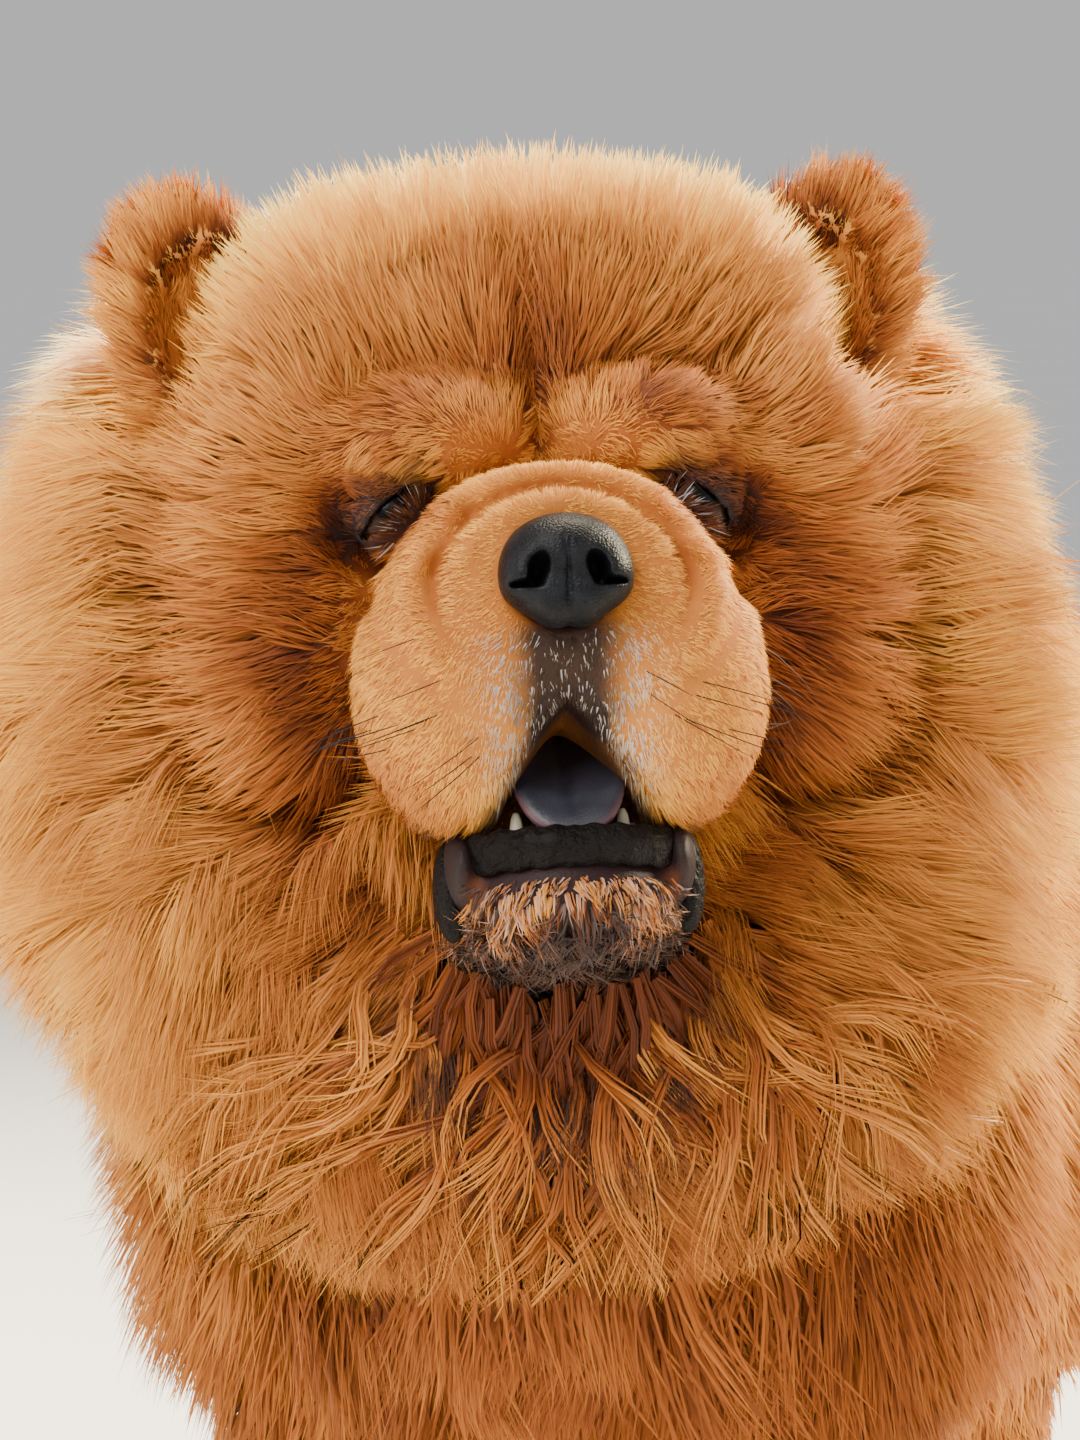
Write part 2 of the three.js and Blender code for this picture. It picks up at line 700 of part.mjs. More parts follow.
const torso = skinOf((p) => torsoShape(p), [0, 60, 400], 4, { stretch: [1, 1.9, 1] });
add("torso", solid(torso), solid(swollen(torso)), "coat");
const underfoot = solid(new THREE.BoxGeometry(1200, 1200, 80).translate(0, 0, -40));
const CLAWS = [[-32, -40], [-13, -52], [13, -52], [32, -40]];
for (const side of [-1, 1]) {
  const name = side > 0 ? "left" : "right";
  const x = (side * LEG_APART) / 2;
  for (const [end, y] of [["front", FRONT_FEET_Y - 12], ["hind", HIND_FEET_Y]]) {
    const paw = skinOf((p) => pawShape(p, [x, y]), [x, y, 22], 3, { reach: 120, crowd: 0.3 });
    const claws = CLAWS.map(([cx, cy]) => solid(claw(x + cx, y + cy)));
    const foot = together([solid(paw), ...claws]).subtract(underfoot);
    add(`${end}_paw_${name}`, foot, solid(swollen(paw)), "coat");
  }
  const foreleg = column(side, FRONT_LEG);
  add(`front_leg_${name}`, solid(foreleg), solid(swollen(foreleg)), "coat");
  const thigh = skinOf((p) => thighShape(p, side), [side * 90, 240, 300], 3);
  add(`thigh_${name}`, solid(thigh), solid(swollen(thigh)), "coat");
  const shank = column(side, HIND_LEG);
  add(`hind_leg_${name}`, solid(shank), solid(swollen(shank)), "coat");
}
const ruff = skinOf((p) => ruffShape(p), [4, -180, 470], 5);
const mane = ruffLocks().filter(({ root }) => headShape(root.clone().applyMatrix4(outOfHead)) > 6);
add("neck_ruff", together([solid(ruff), ...mane.map((one) => lock(one))]), solid(swollen(ruff)), "coat");
const tailSplit = 0.42;
const tailRoot = loft(tailRings(CORE_SHARE, 0, tailSplit));
const tailPlume = loft(tailRings(CORE_SHARE, tailSplit, 1));
add("tail_root", solid(tailRoot), solid(swollen(tailRoot)), "coat");
add("tail_plume", solid(tailPlume), solid(swollen(tailPlume)), "coat");
for (const side of [-1, 1]) {
  const name = side > 0 ? "left" : "right";
  cover(`thigh_${name}`, thighLocks(side));
  cover(`front_leg_${name}`, legLocks(side));
}
cover("tail_plume", tailLocks().filter(({ t }) => t > tailSplit + 0.06));
cover("tail_root", tailLocks().filter(({ t }) => t < tailSplit - 0.1));
cover("torso", torsoLocks());

// The dog's lowest level is the floor, and the origin is under the middle of its box.
const box = new THREE.Box3();
for (const { body } of nodes.values()) {
  const { min, max } = body.boundingBox();
  box.union(new THREE.Box3(vec(...min), vec(...max)));
}
const dog = new THREE.Group();
dog.position.set(-(box.min.x + box.max.x) / 2, -(box.min.y + box.max.y) / 2, -box.min.z);
for (const [name, { body, finish }] of nodes) {
  const [color, roughness] = COLOURS[finish];
  const material = new THREE.MeshStandardMaterial({ color, roughness, metalness: 0 });
  const mesh = new THREE.Mesh(geometryOf(body), material);
  mesh.name = name;
  dog.add(mesh);
}
export default dog;
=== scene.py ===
"""Chow chow in full coat: skin, face, coat, camera and light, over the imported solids.

Shapes are worked out in millimetres in the dog's own layout (the same named sizes as the solids),
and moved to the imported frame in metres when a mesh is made.
"""
import math

import bpy
import numpy as np
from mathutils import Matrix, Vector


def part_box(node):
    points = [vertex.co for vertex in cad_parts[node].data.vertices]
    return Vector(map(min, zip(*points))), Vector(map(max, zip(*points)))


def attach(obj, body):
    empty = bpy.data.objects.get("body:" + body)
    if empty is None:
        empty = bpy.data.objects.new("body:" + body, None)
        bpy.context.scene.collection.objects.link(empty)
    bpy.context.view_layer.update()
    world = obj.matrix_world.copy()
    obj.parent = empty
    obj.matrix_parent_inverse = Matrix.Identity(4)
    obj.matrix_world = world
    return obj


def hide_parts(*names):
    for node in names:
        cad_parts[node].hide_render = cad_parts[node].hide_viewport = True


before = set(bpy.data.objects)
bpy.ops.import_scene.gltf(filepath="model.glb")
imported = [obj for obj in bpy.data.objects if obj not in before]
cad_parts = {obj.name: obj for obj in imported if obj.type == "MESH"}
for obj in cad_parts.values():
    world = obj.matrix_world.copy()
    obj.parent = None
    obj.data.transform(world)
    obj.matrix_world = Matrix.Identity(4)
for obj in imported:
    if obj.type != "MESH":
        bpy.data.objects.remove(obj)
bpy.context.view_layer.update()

import openvdb as vdb
from mathutils import Vector

F = np.float32

# Named sizes, as in the solids
NOSE_AT = np.array([54, -376, 567], F)
HEAD_TURN, HEAD_LIFT, HEAD_ROLL = 18, 14, 2
EYE_APART, EYE_RADIUS = 108, 12.5
EAR_APART = 216
LEG_APART = 178
FRONT_FEET_Y, HIND_FEET_Y = -138, 236
PAW_WIDTH, PAW_LENGTH = 86, 104
BODY_COAT, RUFF_COAT, THIGH_COAT, TAIL_COAT = 62, 108, 60, 82
EYE_AT = (EYE_APART / 2, 74, 33)
EAR_AT = (EAR_APART / 2, 156, 112)
PAWS_Y = (FRONT_FEET_Y - 12, HIND_FEET_Y)
GRID = 4.0
FACE_GRID = 1.8
FUR = 1.0


def turn(axis, degrees):
    c, s = math.cos(math.radians(degrees)), math.sin(math.radians(degrees))
    rows = {"x": [[1, 0, 0], [0, c, -s], [0, s, c]], "y": [[c, 0, s], [0, 1, 0], [-s, 0, c]],
            "z": [[c, -s, 0], [s, c, 0], [0, 0, 1]]}
    return np.array(rows[axis])


HEAD = (turn("z", HEAD_TURN) @ turn("x", -HEAD_LIFT) @ turn("y", -HEAD_ROLL)).astype(F)


def to_head(p):
    """Body layout to the head's own, points as rows."""
    return (p - NOSE_AT) @ HEAD


def from_head(p):
    return np.asarray(p, F) @ HEAD.T + NOSE_AT


def rows_of(x, y, z):
    """Vectors as rows, from numbers or arrays."""
    return np.stack(np.broadcast_arrays(x, y, z), -1).astype(F)


def head_way(x, y, z):
    """Directions in the head's layout, turned to the body's."""
    return from_head(rows_of(x, y, z)) - NOSE_AT


eyes_mid = sum(np.array(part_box(n)[0]) + np.array(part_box(n)[1]) for n in ("eye_left", "eye_right")) / 4
SHIFT = eyes_mid * 1000 - from_head([[0, EYE_AT[1], EYE_AT[2]]])[0]
SHIFT[2] = 0


# Distances in millimetres, below 0 inside a shape; points are rows
def egg(p, centre, radii):
    q = (p - np.array(centre, F)) / np.array(radii, F)
    near = np.sqrt((q * q).sum(-1)) + 1e-6
    q = q / np.array(radii, F)
    slope = np.sqrt((q * q).sum(-1)) + 1e-9
    return near * (near - 1) / slope


def join(k, first, *rest):
    for other in rest:
        h = np.maximum(k - np.abs(first - other), 0) / k
        first = np.minimum(first, other) - h * h * k / 4
    return first


def carve(k, body, cutter):
    return -join(k, -body, cutter)


def grown(radii, by):
    return [r + by for r in radii]


def sided(p):
    return np.concatenate([np.abs(p[..., :1]), p[..., 1:]], -1)


def soft(a, b, x):
    t = np.clip((x - a) / (b - a), 0, 1)
    return t * t * (3 - 2 * t)


def bump(x, centre, width):
    return np.exp(-((x - centre) / width) ** 2)


# Head, in its own layout
def muzzle_parts(q, by=0):
    p = sided(q)
    muzzle = egg(p, (0, 58, -10), grown((60, 52, 46), by))
    bridge = egg(p, (0, 56, 20), grown((50, 44, 26), by))
    lip = egg(p, (37, 48, -36), grown((38, 38, 50), by))
    return join(22, muzzle, bridge, lip)


def mouth_gap(p):
    """The peaked gap between the hanging lips, back over the tongue."""
    x, y, z = np.abs(p[..., 0]), p[..., 1], p[..., 2]
    top = -40 - 0.1 * np.maximum(y, 0)
    half = 25 * np.clip((top - z) / 40, 0, 1.4) ** 0.75
    side = (x - half) * 0.82
    return np.maximum(np.maximum(side, z - top), y - 104)


def jaw_shape(q):
    p = sided(q)
    chin = egg(p, (0, 62, -107), (37, 39, 21))
    body = egg(p, (0, 92, -106), (46, 46, 26))
    lip = egg(p, (38, 68, -97), (7, 30, 16))
    trough = egg(p, (0, 70, -78), (28, 50, 13))
    return carve(4, join(8, chin, body, lip), trough)


def jaw_room(p):
    y, z = p[..., 1], p[..., 2]
    tube = np.hypot(p[..., 0] / 48, (z + 128) / 50) - 1
    return np.maximum(tube * 46, y - 118)


def socket_shape(q):
    """The almond opening between the lids, falling a little to its outer end."""
    p = sided(q) - np.array((EYE_AT[0], EYE_AT[1] - 13, EYE_AT[2]), F)
    c, s = math.cos(0.68), math.sin(0.68)
    along = p[..., 0] * c - p[..., 2] * s
    over = p[..., 0] * s + p[..., 2] * c
    half = 3.0 * (1 - np.clip(along / 15.0, -1, 1) ** 2)
    return np.maximum(np.maximum(np.abs(over) - half, np.abs(along) - 14), np.abs(p[..., 1]) - 14)


def folds(q):
    """Heights of the skin's folds: over the muzzle, round the eyes and down the forehead."""
    p = sided(q)
    x, y, z = p[..., 0], p[..., 1], p[..., 2]
    front = soft(150, 100, y)
    ring = np.hypot(x / 1.25, z + 4)
    arch = soft(-66, -4, z)
    high = 3.0 * bump(ring, 42, 4.6) * arch * soft(95, 60, y)
    high -= 2.8 * bump(ring, 35.5, 2.5) * arch * soft(-30, 6, z) * soft(80, 50, y)
    high += 2.0 * bump(ring, 29.5, 3.8) * soft(-12, 8, z) * soft(70, 45, y)
    high -= 2.0 * bump(ring, 49, 3.0) * arch * soft(95, 60, y)
    high += 3.5 * bump(np.hypot((x - 35) / 1.4, z - 60), 0, 20) * front
    high -= 2.5 * bump(z, 84 - (x - 35) ** 2 * 0.012, 5) * soft(4, 16, x) * soft(74, 56, x) * front
    high -= 5.0 * bump(x, 0, 5 + np.maximum(z - 60, 0) * 0.05) * soft(38, 58, z) * soft(135, 105, z) * front
    high -= 2.5 * bump(z, 118 - x * x * 0.004, 7) * bump(x, 0, 60) * front
    bag = np.hypot(x - 56, (z - 24) * 1.25)
    high += 2.4 * bump(bag, 21, 4) * soft(38, 20, z) * front
    return high


def head_shape(q, coat=1.0):
    """The head at the tips of its hair (coat 0) or at its skin (coat 1)."""
    p = sided(q)
    skull = egg(p, (0, 150, 66), grown((124, 96, 118), -22 * coat))
    crown = egg(p, (62, 152, 112), grown((58, 74, 60), -22 * coat))
    cheek = egg(p, (78, 122, -8), grown((58, 62, 76), -26 * coat))
    temple = egg(p, (84, 104, 52), grown((40, 44, 48), -16 * coat))
    brow = egg(p, (37, 81, 59), grown((38, 31, 25), -5 * coat))
    padding = muzzle_parts(q, -4 * coat)
    face = join(30, skull, crown, cheek, temple)
    hollow = egg(p, (EYE_AT[0] + 4, EYE_AT[1] - 18, EYE_AT[2] - 1), (20, 13, 8))
    browed = join(14, face, brow)
    return carve(8, join(9, browed, padding), hollow)


def eye_ball(q, by=0.0):
    return egg(sided(q), EYE_AT, grown((EYE_RADIUS,) * 3, by))


def head_skin(q):
    shape = head_shape(q) - folds(q)
    lids = np.maximum(eye_ball(q, 2.4), -egg(sided(q), (EYE_AT[0], EYE_AT[1] + 18, EYE_AT[2]), (20,) * 3))
    shape = join(5, shape, lids)
    shape = carve(1.5, shape, socket_shape(q))
    shape = carve(5, shape, mouth_gap(q))
    shape = carve(6, shape, jaw_room(q))
    nose_bed = egg(q, (0, 10, -1), (20.5, 12, 19))
    return carve(3, shape, nose_bed)


def ear_shape(q, coat=1.0):
    p = sided(q) - np.array(EAR_AT, F)
    lean = (p[..., 2] + 20) * 0.16
    bent = np.stack([p[..., 0] - lean, p[..., 1] + p[..., 2] * 0.12, p[..., 2]], -1)
    flap = egg(bent, (0, 0, 8), grown((35, 16, 48), -4.5 * coat))
    base = egg(p, (-10, 6, -14), grown((40, 28, 34), -8 * coat))
    cup = egg(bent, (0, -18, 6), (23, 19, 34))
    return carve(3, join(14, flap, base), cup)


# Body
def torso_shape(p, share=1.0, by=0.0):
    coat = BODY_COAT * share + by
    chest = egg(p, (0, -62, 402), grown((102, 168, 128), coat))
    loin = egg(p, (0, 108, 416), grown((90, 152, 104), coat))
    rump = egg(p, (0, 214, 420), grown((94, 92, 100), coat))
    return join(50, chest, loin, rump)


def ruff_shape(p, share=1.0, by=0.0):
    coat = RUFF_COAT * share + by
    q = to_head(p)
    mane = egg(q, (0, 200, -40), (108 + coat, 50 + coat * 0.62, 92 + coat * 0.96))
    collar = egg(sided(q), (62, 206, 42), grown((64, 36, 60), coat * 0.74))
    crest = egg(p, (4, -128, 540), grown((70, 50, 30), coat * 0.6))
    bib = egg(p, (8, -196, 412), grown((94, 40, 26), coat * 0.8))
    return join(40, mane, collar, crest, bib)


def thigh_shape(p, share=1.0):
    q = sided(p)
    coat = THIGH_COAT * share
    thigh = egg(q, (92, 226, 318), grown((42, 62, 98), coat * 0.8))
    breech = egg(q, (84, 272, 270), grown((34, 40, 70), coat * 0.8))
    return join(40, thigh, breech)


# Each station of a leg: its height, middle, half width, half depth and distance from the midline
FRONT_LEG = [(24, -140, 34, 38, 89), (50, -134, 37, 41, 89), (88, -128, 39, 43, 89),
             (140, -126, 42, 48, 89), (200, -124, 52, 60, 92), (262, -122, 66, 78, 96),
             (330, -120, 74, 88, 100), (400, -118, 68, 80, 98), (452, -116, 46, 58, 86),
             (480, -114, 18, 26, 80)]
HIND_LEG = [(24, 244, 35, 40, 89), (54, 254, 37, 42, 89), (92, 266, 39, 44, 89),
            (140, 272, 43, 52, 89), (190, 266, 52, 68, 88), (240, 250, 60, 80, 90)]


def column(p, stations, coat):
    q = sided(p)
    z = q[..., 2]
    table = np.array(stations, F)
    y, half, deep, x = (np.interp(z, table[:, 0], table[:, k]).astype(F) for k in (1, 2, 3, 4))
    inset = coat * np.interp(z, (0, 100, 260), (5, 9, 22)).astype(F)
    half, deep = np.maximum(half - inset, 3), np.maximum(deep - inset, 3)
    slim = np.minimum(half, deep)
    side = (np.hypot((q[..., 0] - x) / half, (q[..., 1] - y) / deep) - 1) * slim
    return np.maximum(side, np.maximum(table[0, 0] - z, z - table[-1, 0]))


def paw_shape(p, y, coat=1.0):
    q = sided(p) - np.array((LEG_APART / 2, y, 0), F)
    side = np.concatenate([np.abs(q[..., :1]), q[..., 1:]], -1)
    pad = egg(side, (0, 6, 20), grown((PAW_WIDTH / 2 - 4, PAW_LENGTH / 2 - 10, 34), -3 * coat))
    inner = egg(side, (13, -28, 16), grown((14, 24, 26), -2.5 * coat))
    outer = egg(side, (32, -16, 15), grown((13, 26, 24), -2.5 * coat))
    return join(6, pad, inner, outer)


TAIL = np.array([(0, 258, 456), (-6, 302, 492), (-18, 312, 540), (-36, 274, 578), (-54, 214, 586),
                 (-68, 152, 578), (-76, 98, 560)], float)


def catmull(points, count):
    ends = np.vstack([2 * points[0] - points[1], points, 2 * points[-1] - points[-2]])
    rows = []
    for t in np.linspace(0, len(points) - 1.0001, count):
        i, u = int(t), t - int(t)
        a, b, c, d = ends[i : i + 4]
        square, cube = 2 * a - 5 * b + 4 * c - d, 3 * b - a - 3 * c + d
        rows.append(0.5 * (2 * b + (c - a) * u + square * u * u + cube * u ** 3))
    return np.array(rows, F)


TAIL_LINE = catmull(TAIL, 41)
TAIL_ALONG = np.gradient(TAIL_LINE, axis=0)
TAIL_ALONG /= np.linalg.norm(TAIL_ALONG, axis=1)[:, None]


def tail_near(p):
    """The nearest place on the tail's line, and the distance to it."""
    best = np.full(p.shape[:-1], 1e9, F)
    place = np.zeros(p.shape[:-1], int)
    for i, point in enumerate(TAIL_LINE):
        d = ((p - point) ** 2).sum(-1)
        place = np.where(d < best, i, place)
        best = np.minimum(best, d)
    return place, np.sqrt(best)


def tail_shape(p, share=1.0):
    place, near = tail_near(p)
    t = place / (len(TAIL_LINE) - 1)
    fluff = TAIL_COAT * share * np.minimum(1, 0.25 + 2.2 * t) * np.sqrt(np.maximum(0.02, 1 - t ** 4))
    return (near - (20 - 12 * t + fluff * 0.62)).astype(F)


CORE = 0.4  # the share of the coat's depth that the skin takes up under the long coat
PARTS = {
    "muzzle": lambda p: muzzle_parts(to_head(p), -4),
    "face": lambda p: head_skin(to_head(p)),
    "jaw": lambda p: jaw_shape(to_head(p)),
    "ear": lambda p: ear_shape(to_head(p)),
    "ruff": lambda p: ruff_shape(p, CORE),
    "torso": lambda p: torso_shape(p, CORE),
    "thigh": lambda p: thigh_shape(p, CORE),
    "foreleg": lambda p: column(p, FRONT_LEG, 1),
    "hindleg": lambda p: column(p, HIND_LEG, 1),
    "paw": lambda p: np.minimum(*(paw_shape(p, y) for y in PAWS_Y)),
    "tail": lambda p: tail_shape(p, 0.34),
}
NAMES = list(PARTS)
# The box that each part stays in, in the body's layout
REACH = {
    "muzzle": ((-70, -400, 430), (170, -230, 700)),
    "face": ((-150, -400, 420), (190, -80, 740)),
    "jaw": ((-40, -400, 390), (130, -230, 520)),
    "ear": ((-190, -310, 560), (190, -90, 730)),
    "ruff": ((-240, -370, 250), (240, 60, 730)),
    "torso": ((-190, -320, 190), (190, 400, 620)),
    "thigh": ((-210, 90, 120), (210, 400, 450)),
    "foreleg": ((-200, -230, 10), (200, -10, 500)),
    "hindleg": ((-170, 160, 10), (170, 360, 260)),
    "paw": ((-150, -220, -10), (150, 310, 80)),
    "tail": ((-170, 40, 420), (90, 400, 660)),
}
FAR = 60.0  # distances past this are not worked out


def part_distance(name, p):
    low, high = (np.array(c, F) for c in REACH[name])
    inside = ((p > low) & (p < high)).all(-1)
    out = np.full(p.shape[:-1], FAR, F)
    if inside.any():
        out[inside] = np.minimum(PARTS[name](p[inside]), FAR)
    return out


def skin_distance(p):
    d = {name: part_distance(name, p) for name in NAMES if name != "muzzle"}
    body = join(26, d["torso"], d["ruff"], d["thigh"], d["tail"])
    legs = join(12, d["foreleg"], d["hindleg"])
    legs = join(8, legs, d["paw"])
    body = join(30, body, legs)
    head = join(3, d["face"], d["jaw"])
    head = join(8, head, d["ear"])
    q = to_head(p)
    room = np.maximum(mouth_gap(q), -jaw_shape(q))
    body = carve(4, body, np.minimum(room, jaw_room(q) - 2))
    body = carve(3, body, eye_ball(q, 0.3))
    shape = join(10, head, body)
    shape = carve(1, shape, eye_ball(q, 0.2))
    return np.maximum(shape, 0.3 - p[..., 2])


def level_mesh(distance, low, high, step):
    """Points and quads of the surface where distance is 0, worked out slab by slab."""
    axes = [np.arange(a, b, step, dtype=F) for a, b in zip(low, high)]
    field = np.empty([len(a) for a in axes], F)
    depth = max(1, int(2_500_000 / (len(axes[1]) * len(axes[2]))))
    for i in range(0, len(axes[0]), depth):
        slab = np.stack(np.meshgrid(axes[0][i : i + depth], axes[1], axes[2], indexing="ij"), -1)
        field[i : i + depth] = distance(slab)
    grid = vdb.FloatGrid(float(step * 3))
    grid.copyFromArray(np.clip(field, -step * 3, step * 3), tolerance=0)
    points, quads = grid.convertToQuads(0.0)
    return np.array(points, F) * step + np.array([a[0] for a in axes], F), np.array(quads)


def unit(v):
    return v / (np.linalg.norm(v, axis=-1, keepdims=True) + 1e-9)


def to_world(points):
    return (np.asarray(points, float) + SHIFT) * 0.001


def new_mesh(name, points, faces, material, smooth=True):
    """A joined mesh in metres that rides on the body; faces is one array, or several of unlike sides."""
    groups = faces if isinstance(faces, list) else [faces]
    mesh = bpy.data.meshes.new(name)
    mesh.vertices.add(len(points))
    mesh.vertices.foreach_set("co", to_world(points).astype(F).ravel())
    sides = np.concatenate([np.full(len(g), g.shape[1]) for g in groups])
    corners = np.concatenate([g.ravel() for g in groups])
    mesh.loops.add(len(corners))
    mesh.loops.foreach_set("vertex_index", corners.astype(np.int32))
    mesh.polygons.add(len(sides))
    mesh.polygons.foreach_set("loop_start", (np.cumsum(sides) - sides).astype(np.int32))
    mesh.polygons.foreach_set("use_smooth", np.full(len(sides), smooth))
    mesh.update(calc_edges=True)
    mesh.materials.append(material)
    piece = bpy.data.objects.new(name, mesh)
    bpy.context.scene.collection.objects.link(piece)
    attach(piece, "root")
    return piece


def give(piece, name, values):
    piece.data.attributes.new(name, "FLOAT", "POINT").data.foreach_set("value", np.asarray(values, F).ravel())


# Materials
def nodes_of(name):
    material = bpy.data.materials.new(name)
    material.use_nodes = True
    tree = material.node_tree
    shader = tree.nodes["Principled BSDF"]
    return material, tree, shader


def node(tree, kind, **settings):
    made = tree.nodes.new(kind)
    for key, value in settings.items():
        if key in made.inputs:
            made.inputs[key].default_value = value
        else:
            setattr(made, key, value)
    return made


def ramp(tree, stops, source):
    made = tree.nodes.new("ShaderNodeValToRGB")
    cells = made.color_ramp.elements
    while len(cells) < len(stops):
        cells.new(0.5)
    for cell, (place, colour) in zip(cells, stops):
        cell.position = place
        cell.color = (*colour, 1)
    tree.links.new(source, made.inputs["Fac"])
    return made.outputs["Color"]


def constants(shader, **values):
    """Sets the shader's plain inputs; an underscore in a key stands for a space."""
    for key, value in values.items():
        shader.inputs[key.replace("_", " ")].default_value = value


def attribute(tree, name):
    made = tree.nodes.new("ShaderNodeAttribute")
    made.attribute_name = name
    return made.outputs["Fac"]


def maths(tree, how, *values):
    made = tree.nodes.new("ShaderNodeMath")
    made.operation = how
    for i, value in enumerate(values):
        if isinstance(value, (int, float)):
            made.inputs[i].default_value = value
        else:
            tree.links.new(value, made.inputs[i])
    return made.outputs[0]


def mixed(tree, share, base, colour):
    """The base colour, turned to a plain one as far as the named attribute says."""
    made = node(tree, "ShaderNodeMix", data_type="RGBA")
    tree.links.new(attribute(tree, share), made.inputs["Factor"])
    tree.links.new(base, made.inputs["A"])
    made.inputs["B"].default_value = (*colour, 1)
    return made.outputs["Result"]


def noise(tree, scale, detail=3.0, rough=0.55):
    place = tree.nodes.new("ShaderNodeNewGeometry")
    made = node(tree, "ShaderNodeTexNoise", Scale=scale, Detail=detail, Roughness=rough)
    tree.links.new(place.outputs["Position"], made.inputs["Vector"])
    return made.outputs["Fac"]


def bumped(tree, shader, height, strength, distance, invert=False):
    made = node(tree, "ShaderNodeBump", Strength=strength, Distance=distance)
    made.invert = invert
    tree.links.new(height, made.inputs["Height"])
    tree.links.new(made.outputs["Normal"], shader.inputs["Normal"])


# From dark auburn through red and orange to pale gold
COAT_STOPS = [
    (0.0, (0.028, 0.008, 0.004)),
    (0.2, (0.14, 0.031, 0.007)),
    (0.4, (0.38, 0.104, 0.017)),
    (0.6, (0.63, 0.240, 0.044)),
    (0.78, (0.92, 0.43, 0.058)),
    (1.0, (1.0, 0.69, 0.17)),
]


def hair_material(name, rough):
    material, tree, shader = nodes_of(name)
    tone = maths(tree, "ADD", attribute(tree, "tone"), maths(tree, "MULTIPLY", noise(tree, 26.0), 0.12))
    colour = ramp(tree, COAT_STOPS, maths(tree, "SUBTRACT", tone, 0.06))
    colour = mixed(tree, "grey", colour, (0.50, 0.47, 0.45))
    colour = mixed(tree, "dark", colour, (0.018, 0.014, 0.016))
    tree.links.new(colour, shader.inputs["Base Color"])
    constants(shader, Roughness=rough, Specular_IOR_Level=0.12, Sheen_Weight=0.1, Sheen_Roughness=0.4,
              Sheen_Tint=(1.0, 0.72, 0.4, 1))
    return material


def skin_material():
    material, tree, shader = nodes_of("skin_undercoat_gap_shade")
    tone = maths(tree, "ADD", attribute(tree, "tone"), maths(tree, "MULTIPLY", noise(tree, 60.0), 0.16))
    # Darker than the coat so the gaps between hairs look dark: painted shade deep in the coat.
    colour = ramp(tree, COAT_STOPS, maths(tree, "SUBTRACT", tone, 0.1))
    colour = mixed(tree, "dark", colour, (0.012, 0.009, 0.011))
    colour = mixed(tree, "throat", colour, (0.020, 0.008, 0.009))
    tree.links.new(colour, shader.inputs["Base Color"])
    wet = maths(tree, "MAXIMUM", attribute(tree, "dark"), attribute(tree, "throat"))
    rough = maths(tree, "SUBTRACT", 0.85, maths(tree, "MULTIPLY", wet, 0.3))
    tree.links.new(rough, shader.inputs["Roughness"])
    constants(shader, Specular_IOR_Level=0.2)
    bumped(tree, shader, noise(tree, 900.0, 2.0), 0.5, 0.0006)
    return material


HAIR = hair_material("red_hair", 0.58)
WET_HAIR = hair_material("wet_hair", 0.3)
SKIN = skin_material()


